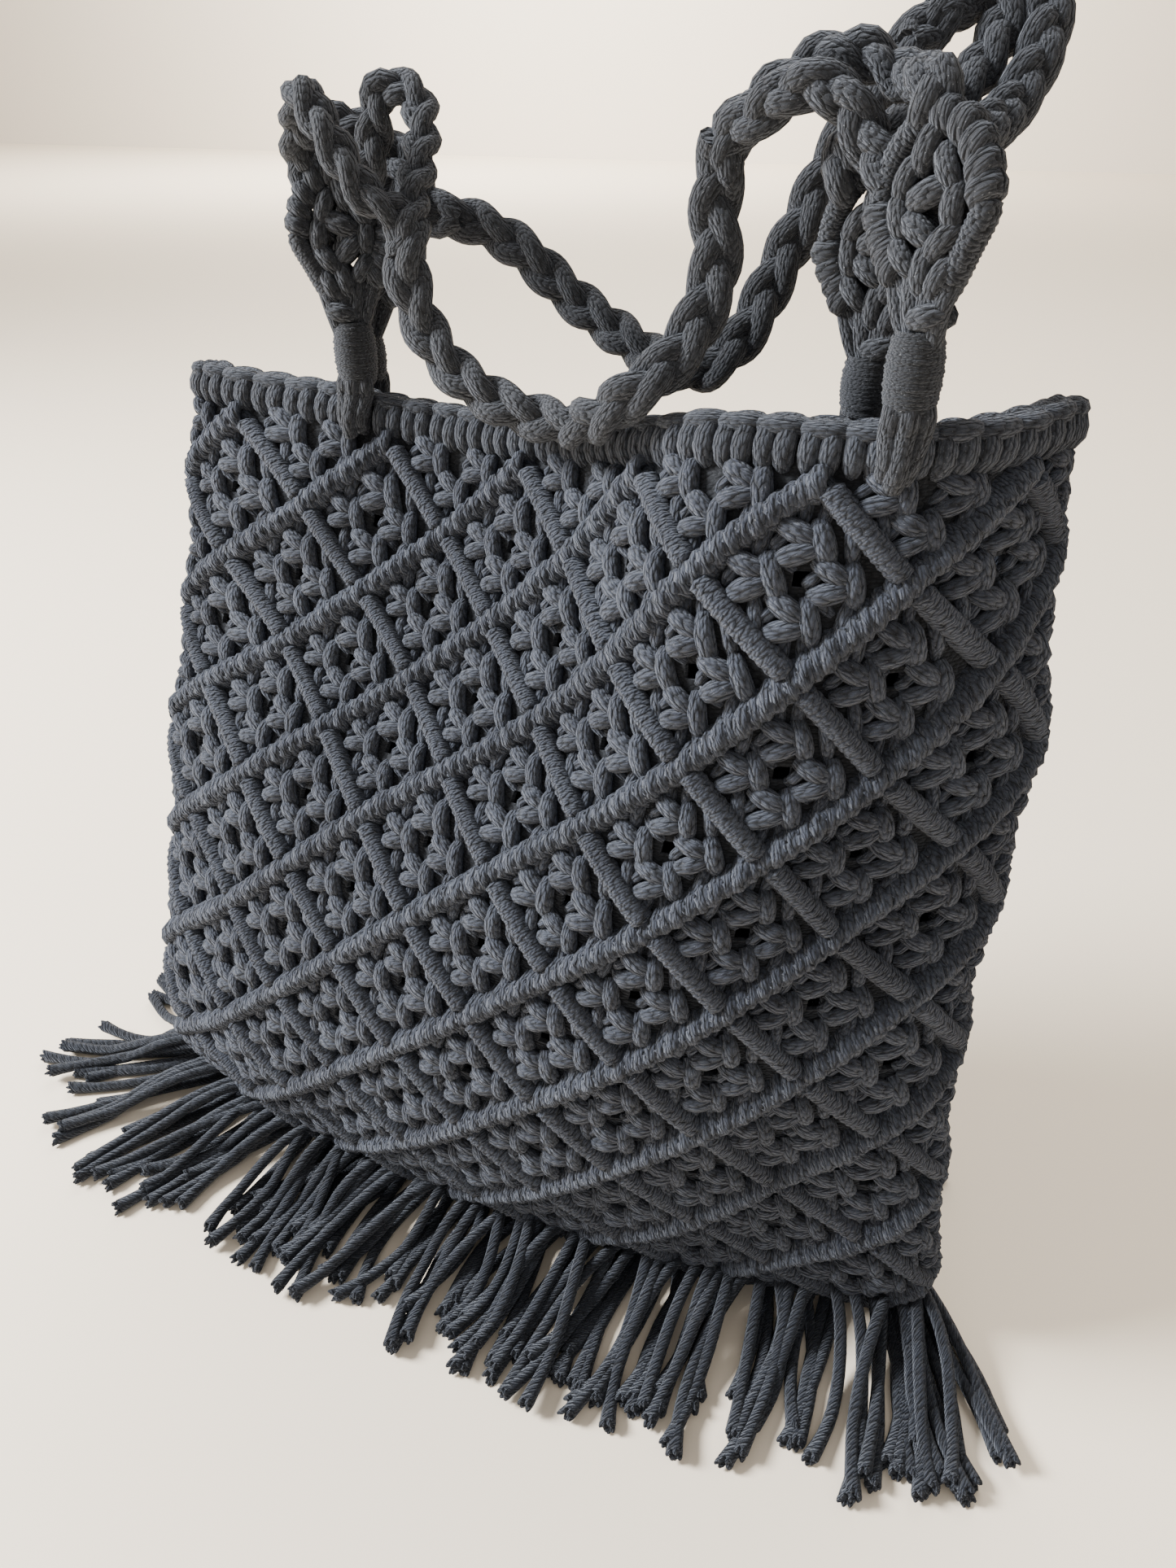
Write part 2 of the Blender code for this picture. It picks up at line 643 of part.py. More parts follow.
# across, forward, up
FRONT_MAIN = (
    (-0.270, 0.16, 0.44), (-0.265, 0.20, 0.33), (-0.245, 0.19, 0.20), (-0.185, 0.20, 0.085),
    (-0.085, 0.21, 0.005), (0.035, 0.22, -0.030), (0.130, 0.32, 0.010), (0.205, 0.36, 0.090),
    (0.270, 0.24, 0.190), (0.300, 0.12, 0.350), (0.290, 0.09, 0.520), (0.305, 0.10, 0.650),
)
FRONT_BRANCHES = {
    "near_left": ("front_left", 115.7, ((-0.475, 0.13, 0.735), (-0.400, 0.22, 0.650), (-0.330, 0.22, 0.510))),
    "far_left": ("front_left", 64.3, ((-0.415, -0.17, 0.740), (-0.345, -0.18, 0.725), (-0.300, -0.06, 0.610))),
    "outer_right": ("front_right", 90.0, ((0.585, 0.10, 0.835), (0.475, 0.07, 0.895), (0.375, 0.07, 0.810),
                                          (0.320, 0.08, 0.720))),
    "inner_right": ("front_right", 141.4, ((0.500, 0.24, 0.735), (0.430, 0.22, 0.755), (0.355, 0.16, 0.690))),
}
BACK_MAIN = (
    (-0.385, -0.34, 0.430), (-0.290, -0.38, 0.400), (-0.190, -0.38, 0.335), (-0.090, -0.40, 0.215),
    (0.010, -0.38, 0.130), (0.120, -0.30, 0.070), (0.225, -0.22, 0.065), (0.300, -0.24, 0.160),
    (0.345, -0.33, 0.330), (0.395, -0.35, 0.500), (0.440, -0.40, 0.650), (0.490, -0.48, 0.800),
    (0.560, -0.60, 0.920),
)
BACK_BRANCHES = {
    "low_left": ("back_left", 64.3, ((-0.445, -0.40, 0.505),)),
    "high_left": ("back_left", 115.7, ((-0.585, -0.30, 0.650), (-0.510, -0.37, 0.630),
                                       (-0.440, -0.37, 0.545))),
    "inner_right": ("back_right", 115.7, ((0.600, -0.38, 0.720), (0.650, -0.58, 0.860), (0.640, -0.66, 0.955))),
    "outer_right": ("back_right", 64.3, ((0.690, -0.34, 0.690), (0.725, -0.54, 0.850), (0.700, -0.68, 0.985),
                                         (0.630, -0.68, 0.990))),
}


def strap(name, main_rows, branches):
    # One strap: a thick plait that forks into two thinner ones on its way to each leaf.
    main_points = route(main_rows)
    body = plait(name, main_points, STRAP_WIDTH, STRAP_THICK, 0.0085, 8)
    parts = []
    for part_name, (end_name, angle, rows) in branches.items():
        end = ends[end_name]
        a = math.radians(angle)
        edge = end.radius(a)
        reach = BRANCH_WIDTH * 0.10
        start = end.point(a, edge + CLEAR + reach, 0.0)
        points = [start, end.point(a, edge + CLEAR + reach + 0.006, 0.0)] + route(rows)
        far = main_points[0] if part_name.endswith("left") else main_points[-1]
        after = main_points[1] if part_name.endswith("left") else main_points[-2]
        points += [far, far.lerp(after, 0.6)]
        parts.append(plait(name + "_" + part_name, points, BRANCH_WIDTH, BRANCH_THICK, 0.0085, 6))
    fuse(body, parts)
    return body


strap("strap_front", FRONT_MAIN, FRONT_BRANCHES)
strap("strap_back", BACK_MAIN, BACK_BRANCHES)


# Fringe: where a lock points, in degrees from +X, and its length as a share of LOCK_LENGTH.
# column, direction, length
FRONT_LOCKS = (
    (-1.0, 150.0, 0.95), (0.0, 195.0, 1.15), (1.0, 240.0, 1.22), (3.0, 256.0, 0.98), (6.0, 262.0, 0.98),
    (9.0, 268.0, 1.0), (11.0, 276.0, 1.05), (12.0, 300.0, 1.08), (13.0, 345.0, 0.95),
)
BACK_LOCKS = (
    (13.8, 30.0, 0.80), (15.0, 75.0, 0.95), (17.0, 88.0, 1.0), (19.0, 92.0, 0.92), (21.0, 90.0, 1.0),
    (23.0, 100.0, 0.95), (24.2, 150.0, 0.80),
)


def fringe(name, locks, first, last, step):
    # Cut cord ends lying on the table, gathered in locks and fused along the edge of the base.
    bm = bmesh.new()
    count = round((last - first) / step)
    cols = [lock[0] for lock in locks]
    rows = []
    for k in range(count + 1):
        c = first + (last - first) * k / count
        below = math.floor(c)
        share = c - below
        edge = outer(below, ROWS).lerp(outer(below + 1, ROWS), share)
        n = outward(c, ROWS - 0.6)
        flat = Vector((n.x, n.y, 0.0)).normalized()
        row = ROWS
        while row > ROWS - 2 and outer(c, row - 0.02).z < LOCK_ROOT_HEIGHT:
            row -= 0.02
        low = edge + flat * LOCK_ROOT_SLACK
        high = outer(c, row - 0.02, KNOT_HEIGHT * relief(row)) + flat * (CLEAR * 2)
        high.z = LOCK_ROOT_HEIGHT
        low.z = 0.0
        a = math.radians(hermite_line(cols, [lock[1] for lock in locks], c))
        length = LOCK_LENGTH * hermite_line(cols, [lock[2] for lock in locks], c)
        length *= 1 + 0.05 * math.sin(2.3 * k) + 0.04 * math.sin(5.1 * k + 1)
        rows.append((low, high, Vector((math.cos(a), math.sin(a), 0.0)), length))
    roots = []
    notches = []
    for low, high, way, length in rows:
        roots.append((bm.verts.new(low), bm.verts.new(high)))
        mid = high + way * (length * 0.50)
        mid_z = LOCK_TIP_HEIGHT + (LOCK_ROOT_HEIGHT - LOCK_TIP_HEIGHT) * 0.4
        notches.append((bm.verts.new((mid.x, mid.y, 0.0)), bm.verts.new((mid.x, mid.y, mid_z))))
    for k in range(count):
        a = rows[k]
        b = rows[k + 1]
        way = (a[2] + b[2]).normalized()
        length = (a[3] + b[3]) / 2
        tip = (a[1] + b[1]) / 2 + way * length
        side = Vector((-way.y, way.x, 0.0)) * (LOCK_TIP_WIDTH / 2)
        if side.dot(notches[k + 1][0].co - notches[k][0].co) < 0:
            side = -side
        spread = min(1.0, (notches[k + 1][0].co - notches[k][0].co).length / LOCK_TIP_WIDTH * 0.85)
        side = side * spread
        tips = []
        for p in (tip - side, tip + side):
            tips.append((bm.verts.new((p.x, p.y, 0.0)), bm.verts.new((p.x, p.y, LOCK_TIP_HEIGHT))))
        left = notches[k]
        right = notches[k + 1]
        bm.faces.new((roots[k][1], roots[k + 1][1], right[1], left[1]))
        bm.faces.new((roots[k][0], roots[k + 1][0], right[0], left[0]))
        bm.faces.new((left[1], right[1], tips[1][1], tips[0][1]))
        bm.faces.new((left[0], right[0], tips[1][0], tips[0][0]))
        bm.faces.new((roots[k][0], roots[k + 1][0], roots[k + 1][1], roots[k][1]))
        bm.faces.new((left[0], left[1], tips[0][1], tips[0][0]))
        bm.faces.new((tips[0][0], tips[0][1], tips[1][1], tips[1][0]))
        bm.faces.new((tips[1][0], tips[1][1], right[1], right[0]))
    for k in (0, count):
        bm.faces.new((roots[k][0], roots[k][1], notches[k][1], notches[k][0]))
    bmesh.ops.triangulate(bm, faces=bm.faces)
    return new_object(name, bm, NAVY_BLACK)


fringe("fringe_front", FRONT_LOCKS, -1.0, 13.0, 0.5)
fringe("fringe_back", BACK_LOCKS, 13.8, 24.2, 0.52)


# The bag's own place: the middle of its footprint, on the table, is the origin.
pieces = [ob for ob in bpy.data.objects if ob.type == "MESH"]
xs = [v.co.x for ob in pieces for v in ob.data.vertices]
ys = [v.co.y for ob in pieces for v in ob.data.vertices]
middle = Vector(((min(xs) + max(xs)) / 2, (min(ys) + max(ys)) / 2, 0.0))
for ob in pieces:
    for v in ob.data.vertices:
        v.co -= middle
    ob.data.update()
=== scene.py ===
# Macrame tote bag in charcoal cotton cord, standing on a pale table. Metres, +Z up, front facing -Y.
import math

import bpy
import numpy as np
from mathutils import Matrix, Vector


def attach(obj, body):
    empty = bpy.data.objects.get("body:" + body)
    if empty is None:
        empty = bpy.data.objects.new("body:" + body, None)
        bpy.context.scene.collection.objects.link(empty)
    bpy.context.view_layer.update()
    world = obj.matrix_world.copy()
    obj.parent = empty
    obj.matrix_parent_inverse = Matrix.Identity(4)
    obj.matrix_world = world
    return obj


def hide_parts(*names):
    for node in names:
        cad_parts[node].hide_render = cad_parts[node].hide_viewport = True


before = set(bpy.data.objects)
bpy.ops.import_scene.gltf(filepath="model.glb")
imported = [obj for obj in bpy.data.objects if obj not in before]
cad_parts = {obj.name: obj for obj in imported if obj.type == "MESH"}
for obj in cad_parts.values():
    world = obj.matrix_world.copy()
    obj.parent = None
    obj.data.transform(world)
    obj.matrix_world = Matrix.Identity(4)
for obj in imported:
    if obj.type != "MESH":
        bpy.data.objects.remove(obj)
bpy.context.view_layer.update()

MIDDLE = (-0.008765, -0.035841)    # the bag's footprint is centred here in the pattern's own place

# Knotted cloth
COLUMN = 0.028             # half a diamond, measured along the cloth across the front
RIM_HEIGHT = 0.313         # middle of the top edge above the table
BELLY_DEPTH = 0.090        # how far the front bulges forward of the side of the mouth
BACK_DEPTH = 0.024         # how far the back stands behind the side of the mouth
RIM_SAG = 0.011            # dip of the rim left of the middle, and rise right of it
BACK_RIM_DROP = 0.010      # the back rim hangs this much lower than the front rim
WALL = 0.008               # thickness of the knotted wall
RIM_WALL = 0.0075          # thickness of the row of knots along the rim
RIM_ROW = 0.0165           # height of that row
SEAM_DEPTH = 0.036         # bottom seam, forward of the side of the mouth
CLEAR = 0.0003             # gap between pieces that touch

# Handles
WRAP_RADIUS = 0.0086       # room for the cord wound round each handle root
WRAP_LENGTH = 0.020
WINDING_PITCH = 0.0011     # from one wound turn to the next
TAIL_LENGTH = 0.0140       # folded cord ends below each wrap, over the rim row
LEAF_LENGTH = 0.048        # knotted oval between wrap and strap
LEAF_WIDTH = 0.036
LEAF_THICK = 0.0095
STRAP_WIDTH = 0.0135       # main stretch of a strap
STRAP_THICK = 0.0105
STRAP_PITCH = 0.046        # length of one whole round of its plait
STRAP_STRAND = 0.0038      # radius of its strands
BRANCH_WIDTH = 0.0100      # the two ends that a strap forks into at each side
BRANCH_THICK = 0.0085
BRANCH_PITCH = 0.036
BRANCH_STRAND = 0.0028
PLAIT_STEP = 0.0022        # from one ring of a strand to the next

# Fringe
LOCK_LENGTH = 0.068        # length of a cut cord, before the shares in the tables
CUT_RADIUS = 0.00225       # of a cut cord
CUT_REST = 0.0024          # middle of a cut cord that lies on the table
CLUMP = 4                  # neighbouring cords that lean together

ROWS = 12                  # rows of half diamonds from the rim row to the edge of the base
SIDE_RIGHT = 12            # column on the right side fold; column 0 is the left one
AROUND = 26                # half diamonds all the way round

# Folds of the front. Row of the lattice, level as a share of RIM_HEIGHT, then how far forward the
# cloth stands at seven columns from left to right, as shares of BELLY_DEPTH.
# left_edge is the left side fold, as a share of six COLUMNs left of the middle.
# row, level, side_left, left, mid_left, middle, mid_right, right, side_right, left_edge
FRONT_FOLDS = (
    (-0.6, 1.000, -0.14, -0.10, -0.11, 0.06, 0.36, 0.34, -0.15, 0.895),
    (1.0, 0.875, -0.02, 0.10, 0.08, 0.25, 0.55, 0.44, -0.03, 0.897),
    (3.0, 0.716, 0.14, 0.30, 0.37, 0.53, 0.71, 0.53, 0.11, 0.900),
    (5.0, 0.568, 0.32, 0.59, 0.68, 0.81, 0.88, 0.66, 0.27, 0.912),
    (7.0, 0.407, 0.43, 0.74, 0.88, 0.96, 0.97, 0.78, 0.42, 0.926),
    (9.0, 0.240, 0.56, 0.84, 0.93, 0.98, 0.94, 0.76, 0.52, 0.962),
    (10.5, 0.122, 0.60, 0.81, 0.88, 0.91, 0.86, 0.72, 0.57, 0.972),
    (11.4, 0.056, 0.52, 0.73, 0.80, 0.82, 0.78, 0.68, 0.52, 0.980),
    (12.0, 0.0, 0.40, 0.62, 0.68, 0.70, 0.67, 0.59, 0.40, 0.965),
)
# Folds of the back: how far it stands back at five columns, as shares of BACK_DEPTH.
# row, right, mid_right, middle, mid_left, left
BACK_FOLDS = (
    (-0.6, -0.50, -0.58, 0.46, 1.10, 1.08),
    (1.0, -0.15, -0.20, 0.60, 1.06, 0.98),
    (3.0, 0.50, 0.60, 0.85, 1.04, 0.92),
    (5.0, 0.72, 0.92, 1.04, 1.04, 0.80),
    (7.0, 0.56, 0.84, 0.98, 0.92, 0.60),
    (9.0, 0.20, 0.55, 0.70, 0.58, 0.22),
    (10.5, -0.12, 0.12, 0.25, 0.15, -0.12),
    (11.4, -0.42, -0.22, -0.12, -0.20, -0.42),
    (12.0, -0.85, -0.66, -0.58, -0.66, -0.85),
)
# Width of the cloth between the seven columns, as shares of two COLUMNs.
COLUMN_SHARES = (0.985, 0.995, 1.015, 0.995, 0.975, 0.930)
BASE_END_INSET = 0.012     # the bottom seam stops short of the side folds
# Rise and sag of the rim at the seven front columns, as shares of RIM_SAG, and how it fades by row.
RIM_WAVE = (-0.4, -0.6, -0.95, -0.45, 0.7, 0.9, 0.9)
WAVE_FADE = ((-0.6, 1.0), (1.0, 1.0), (3.0, 0.45), (5.0, 0.0), (12.0, 0.0))
BACK_KNOTS = (15.0, 17.0, 19.0, 21.0, 23.0)


def hermite(knots, values, t):
    # Smooth curve through the knots, held flat beyond both ends.
    if t <= knots[0]:
        return values[0]
    if t >= knots[-1]:
        return values[-1]
    k = 0
    while t > knots[k + 1]:
        k += 1

    def slope(i):
        if i == 0:
            return (values[1] - values[0]) / (knots[1] - knots[0])
        if i == len(knots) - 1:
            return (values[-1] - values[-2]) / (knots[-1] - knots[-2])
        return (values[i + 1] - values[i - 1]) / (knots[i + 1] - knots[i - 1])

    span = knots[k + 1] - knots[k]
    s = (t - knots[k]) / span
    a = values[k]
    b = values[k + 1]
    ta = slope(k) * span
    tb = slope(k + 1) * span
    return (a * (2 * s**3 - 3 * s**2 + 1) + ta * (s**3 - 2 * s**2 + s)
            + b * (3 * s**2 - 2 * s**3) + tb * (s**3 - s**2))


def level(row):
    return hermite([r[0] for r in FRONT_FOLDS], [r[1] for r in FRONT_FOLDS], row) * RIM_HEIGHT


section_cache = {}


def section(row):
    # Knots round one level of the bag: columns, x and y, running front left to right, then the back.
    key = round(row, 5)
    if key in section_cache:
        return section_cache[key]
    rows = [r[0] for r in FRONT_FOLDS]
    front_y = [-BELLY_DEPTH * hermite(rows, [r[2 + k] for r in FRONT_FOLDS], row) for k in range(7)]
    front_x = [0.0]
    for k in range(6):
        chord = 2 * COLUMN * COLUMN_SHARES[k]
        step = front_y[k + 1] - front_y[k]
        front_x.append(front_x[-1] + math.sqrt(max(chord**2 - step**2, (0.5 * chord) ** 2)))
    left_edge = 6 * COLUMN * hermite(rows, [r[9] for r in FRONT_FOLDS], row)
    front_x = [x - left_edge for x in front_x]
    back_y = [BACK_DEPTH * hermite(rows, [r[1 + k] for r in BACK_FOLDS], row) for k in range(5)]
    back_x = [front_x[5 - k] for k in range(5)]
    columns = [0.0, 2.0, 4.0, 6.0, 8.0, 10.0, 12.0] + list(BACK_KNOTS)
    xs = front_x + back_x
    ys = front_y + back_y
    wrapped_columns = [c - AROUND for c in columns[-2:]] + columns + [c + AROUND for c in columns[:3]]
    wrapped_x = xs[-2:] + xs + xs[:3]
    wrapped_y = ys[-2:] + ys + ys[:3]
    section_cache[key] = (wrapped_columns, wrapped_x, wrapped_y)
    return section_cache[key]


def front_column(column):
    # The front column that faces a back column across the bag.
    c = column % AROUND
    if c <= SIDE_RIGHT:
        return c
    return float(np.interp(c, (12.0, 15.0, 23.0, 26.0), (12.0, 10.0, 2.0, 0.0)))


def cloth(column, row):
    # A point of the middle of the knotted wall.
    c = column % AROUND
    cols, xs, ys = section(min(row, ROWS))
    x = hermite(cols, xs, c)
    y = hermite(cols, ys, c)
    wave = hermite((0, 2, 4, 6, 8, 10, 12), RIM_WAVE, front_column(c)) * RIM_SAG
    fade = float(np.interp(row, [w[0] for w in WAVE_FADE], [w[1] for w in WAVE_FADE]))
    z = WALL / 2 + level(min(row, ROWS)) * (1 - WALL / 2 / RIM_HEIGHT) + wave * fade
    if c > SIDE_RIGHT:
        z -= BACK_RIM_DROP * fade * math.sin(math.pi * (c - SIDE_RIGHT) / (AROUND - SIDE_RIGHT))
    if row > ROWS:
        share = row - ROWS
        y = y + (-SEAM_DEPTH - y) * share
        x *= 1 - share * BASE_END_INSET / (6 * COLUMN)
    return Vector((x, y, z))


def outward(column, row):
    step = 0.05
    r = min(row, ROWS - 0.02)
    across = cloth(column + step, r) - cloth(column - step, r)
    along = cloth(column, r + step) - cloth(column, r - step)
    return along.cross(across).normalized()


# The cloth is sampled once, and all knots are placed on it by column, row and height above its middle.
GRID = 8                   # samples to half a diamond
TOP_ROW = -0.9             # over the rim
RIM_EDGE = -0.6            # top edge of the cloth, from where it goes straight up
LAST_ROW = 13.0            # the seam in the middle of the base


def sample_cloth():
    columns = AROUND * GRID
    rows = round((LAST_ROW - TOP_ROW) * GRID)
    place = np.zeros((rows + 1, columns, 3))
    for j in range(rows + 1):
        row = TOP_ROW + (LAST_ROW - TOP_ROW) * j / rows
        for i in range(columns):
            p = cloth(i / GRID, max(row, RIM_EDGE))
            if row < RIM_EDGE:
                p.z += (RIM_EDGE - row) * COLUMN
            place[j, i] = p
    across = np.roll(place, -1, axis=1) - np.roll(place, 1, axis=1)
    along = np.gradient(place, axis=0)
    under = round((ROWS - TOP_ROW) * GRID * rows / ((LAST_ROW - TOP_ROW) * GRID))
    along[under] = place[under] - place[under - 1]
    normal = np.cross(along, across)
    normal /= np.maximum(np.linalg.norm(normal, axis=2, keepdims=True), 1e-12)
    normal[under + 1:] = (0.0, 0.0, -1.0)
    place[:, :, 0] -= MIDDLE[0]
    place[:, :, 1] -= MIDDLE[1]
    return place, normal, rows


cloth_place, cloth_normal, cloth_rows = sample_cloth()


def on_bag(columns, rows, heights):
    # Points of the bag from arrays of column, row and height above the middle of the wall.
    c = (np.asarray(columns) % AROUND) * GRID
    r = np.clip((np.asarray(rows) - TOP_ROW) / (LAST_ROW - TOP_ROW), 0, 1) * cloth_rows
    c0 = np.floor(c).astype(int)
    r0 = np.minimum(np.floor(r).astype(int), cloth_rows - 1)
    fc = (c - c0)[:, None]
    fr = (r - r0)[:, None]
    c0 %= AROUND * GRID
    c1 = (c0 + 1) % (AROUND * GRID)

    def blend(table):
        top = table[r0, c0] * (1 - fc) + table[r0, c1] * fc
        low = table[r0 + 1, c0] * (1 - fc) + table[r0 + 1, c1] * fc
        return top * (1 - fr) + low * fr

    normal = blend(cloth_normal)
    normal /= np.maximum(np.linalg.norm(normal, axis=1, keepdims=True), 1e-9)
    point = blend(cloth_place) + normal * np.asarray(heights)[:, None]
    point[:, 2] = np.maximum(point[:, 2], 0.0002)
    return point


class Pile:
    # Cords gathered into one mesh. Marks say how far along and round its cord each face corner lies, in mm.
    def __init__(self):
        self.points = []
        self.quads = []
        self.marks = []
        self.count = 0

    def add(self, points, quads, marks):
        self.points.append(points)
        self.quads.append(quads + self.count)
        self.marks.append(marks)
        self.count += len(points)

    def piece(self, name, material, *nodes):
        points = np.concatenate(self.points)
        quads = np.concatenate(self.quads)
        marks = np.concatenate(self.marks)
        mesh = bpy.data.meshes.new(name)
        mesh.from_pydata(points.tolist(), [], quads.tolist())
        layer = mesh.uv_layers.new(name="cord_way")
        layer.data.foreach_set("uv", marks.reshape(-1).astype(np.float32))
        mesh.validate()
        mesh.shade_smooth()
        mesh.set_sharp_from_angle(angle=math.radians(75))
        mesh.materials.append(material)
        ob = bpy.data.objects.new(name, mesh)
        bpy.context.scene.collection.objects.link(ob)
        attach(ob, "root")
        if nodes:
            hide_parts(*nodes)


def tube(path, widths, depths, sides, faces_up=(0.0, 0.0, 1.0)):
    # A closed cord along a path: points, quads and marks. widths lie across faces_up, depths along it.
    path = np.asarray(path, float)
    count = len(path)
    widths = np.broadcast_to(np.asarray(widths, float), (count,))
    depths = np.broadcast_to(np.asarray(depths, float), (count,))
    ahead = np.gradient(path, axis=0)
    ahead /= np.maximum(np.linalg.norm(ahead, axis=1, keepdims=True), 1e-12)
    up = np.broadcast_to(np.asarray(faces_up, float), (count, 3))
    side = np.cross(ahead, up)
    side /= np.maximum(np.linalg.norm(side, axis=1, keepdims=True), 1e-9)
    third = np.cross(side, ahead)
    angle = 2 * np.pi * np.arange(sides) / sides
    ring = (side[:, None, :] * (np.cos(angle)[None, :, None] * widths[:, None, None])
            + third[:, None, :] * (np.sin(angle)[None, :, None] * depths[:, None, None]))
    points = (path[:, None, :] + ring).reshape(-1, 3)
    k = np.repeat(np.arange(count - 1), sides)
    s = np.tile(np.arange(sides), count - 1)
    n = (s + 1) % sides
    quads = np.stack([k * sides + s, (k + 1) * sides + s, (k + 1) * sides + n, k * sides + n], axis=1)
    step = np.linalg.norm(np.diff(path, axis=0), axis=1)
    far = np.concatenate([[0.0], np.cumsum(step)]) * 1000
    girth = 1000 * math.pi * float(np.mean(widths) + np.mean(depths))
    near = s / sides * girth
    past = (s + 1) / sides * girth
    corners = ((far[k], near), (far[k + 1], near), (far[k + 1], past), (far[k], past))
    marks = np.stack([np.stack(corner, 1) for corner in corners], axis=1)
    rungs = np.arange(sides // 2 - 1)
    first = np.stack([rungs, rungs + 1, sides - 2 - rungs, sides - 1 - rungs], axis=1)
    last = first[:, ::-1] + (count - 1) * sides
    cap_angle = angle[first % sides]
    cap = np.stack([np.cos(cap_angle) * 2.2, np.sin(cap_angle) * 2.2], axis=2)
    quads = np.concatenate([quads, first, last])
    marks = np.concatenate([marks, cap, cap])
    return points, quads, marks


# Knots are shaped flat, in metres: x to the right, y up the bag, z out of the middle of the wall.
ROW = 0.0275               # half a diamond, measured up the cloth


def lobe(across, up, length, turn, width, foot, crown, sides=8, rings=7):
    # A short stretch of cord that comes out of the knot, arches over it and dips in again. Millimetres.
    t = np.linspace(-1, 1, rings)
    way = math.radians(turn)
    path = np.stack([across + math.cos(way) * t * length / 2, up + math.sin(way) * t * length / 2,
                     foot + (crown - foot) * np.sqrt(np.maximum(0.0, 1 - 0.92 * t**2))], axis=1)
    swell = width / 2 * (0.70 + 0.30 * np.sqrt(1 - t**2 * 0.96))
    return tube(path / 1000, swell / 1000, swell / 1000 * 0.96, sides)


def join(parts):
    pile = Pile()
    for part in parts:
        pile.add(*part)
    return np.concatenate(pile.points), np.concatenate(pile.quads), np.concatenate(pile.marks)


# Cords of one square knot, from its middle. Angles run anticlockwise from the right.
# across, up, length, turn, width, foot, crown
SQUARE_KNOT = (
    (-2.6, 2.9, 9.8, -30.0, 6.5, 0.2, 3.3),
    (-2.4, -3.0, 9.4, 20.0, 6.3, 0.2, 3.4),
    (3.6, -0.1, 11.6, -75.0, 6.0, 0.0, 3.4),
    (-6.7, 0.8, 6.4, 48.0, 3.8, -0.4, 2.2),
)
# Cords that run between the knots and the ridges, lower than both
FILLING = (
    (-11.5, 10.5, 13.0, 82.0, 4.6, -0.5, 2.2), (11.0, 11.0, 13.0, 100.0, 4.6, -0.5, 2.2),
    (-10.5, -11.0, 13.0, 98.0, 4.6, -0.5, 2.2), (12.0, -10.5, 13.0, 80.0, 4.6, -0.5, 2.2),
    (-2.6, 19.5, 11.0, 96.0, 4.0, -0.5, 1.3), (2.8, 19.5, 11.0, 84.0, 4.0, -0.5, 1.3),
    (-2.8, -19.5, 11.0, 84.0, 4.0, -0.5, 1.3), (2.6, -19.5, 11.0, 96.0, 4.0, -0.5, 1.3),
    (-5.6, 5.6, 9.0, 135.0, 4.2, -0.8, 1.6), (5.6, -5.6, 9.0, 135.0, 4.2, -0.8, 1.6),
)


def plain_lobes(rows):
    return [lobe(*row, sides=6, rings=4) for row in rows]


square_knot = join([lobe(*row, rings=6) for row in SQUARE_KNOT[:3]] + plain_lobes(SQUARE_KNOT[3:]))
inside_knot = join(plain_lobes(SQUARE_KNOT[:3]))
filling = join(plain_lobes(FILLING))
lower_filling = join(plain_lobes(row for row in FILLING if row[1] < 0))
upper_filling = join(plain_lobes(row for row in FILLING if row[1] > 0))

rough = np.random.RandomState(7)


def stamp(pile, shape, column, row, turn=0.0, size=1.0, inside=False, shift=(0.0, 0.0)):
    # Lays a flat shape on the bag. Each copy starts at its own place of the braid's pattern.
    points, quads, marks = shape
    a = math.radians(turn)
    x = (points[:, 0] * math.cos(a) - points[:, 1] * math.sin(a)) * size + shift[0]
    y = (points[:, 0] * math.sin(a) + points[:, 1] * math.cos(a)) * size + shift[1]
    z = points[:, 2] * size
    if inside:
        x = -x
        z = -z
    warped = on_bag(column + x / COLUMN, row - y / ROW, z)
    pile.add(warped, quads, marks + rough.uniform(0, 50))


KNOT_JITTER = 0.0006       # how far a knot strays from its place
# The four knots of a diamond: across and up from its middle, in metres
KNOT_PLACES = ((-0.0105, 0.0000), (0.0103, -0.0008), (0.0004, 0.0106), (-0.0002, -0.0108))


def on_front(column):
    return 0 <= column % AROUND <= SIDE_RIGHT


knots_front = Pile()
knots_back = Pile()
inside_front = Pile()
inside_back = Pile()
for j in range(0, ROWS + 2):
    for i in range(AROUND):
        if (i + j) % 2:
            continue
        outside = knots_front if on_front(i) else knots_back
        lining = inside_front if on_front(i) else inside_back
        for x, y in KNOT_PLACES:
            if j == 0:
                if y > 0.005:
                    continue
                y -= 0.0022
            if j == ROWS + 1 and y < 0.005:
                continue
            place = (x + rough.uniform(-KNOT_JITTER, KNOT_JITTER),
                     y + rough.uniform(-KNOT_JITTER, KNOT_JITTER))
            stamp(outside, square_knot, i, j, rough.uniform(-7, 7), rough.uniform(0.94, 1.05), shift=place)
            stamp(lining, inside_knot, i, j, rough.uniform(-7, 7), 0.96, inside=True,
                  shift=(-place[0], place[1]))
        strands = lower_filling if j == 0 else upper_filling if j == ROWS + 1 else filling
        stamp(outside, strands, i, j, rough.uniform(-2, 2))


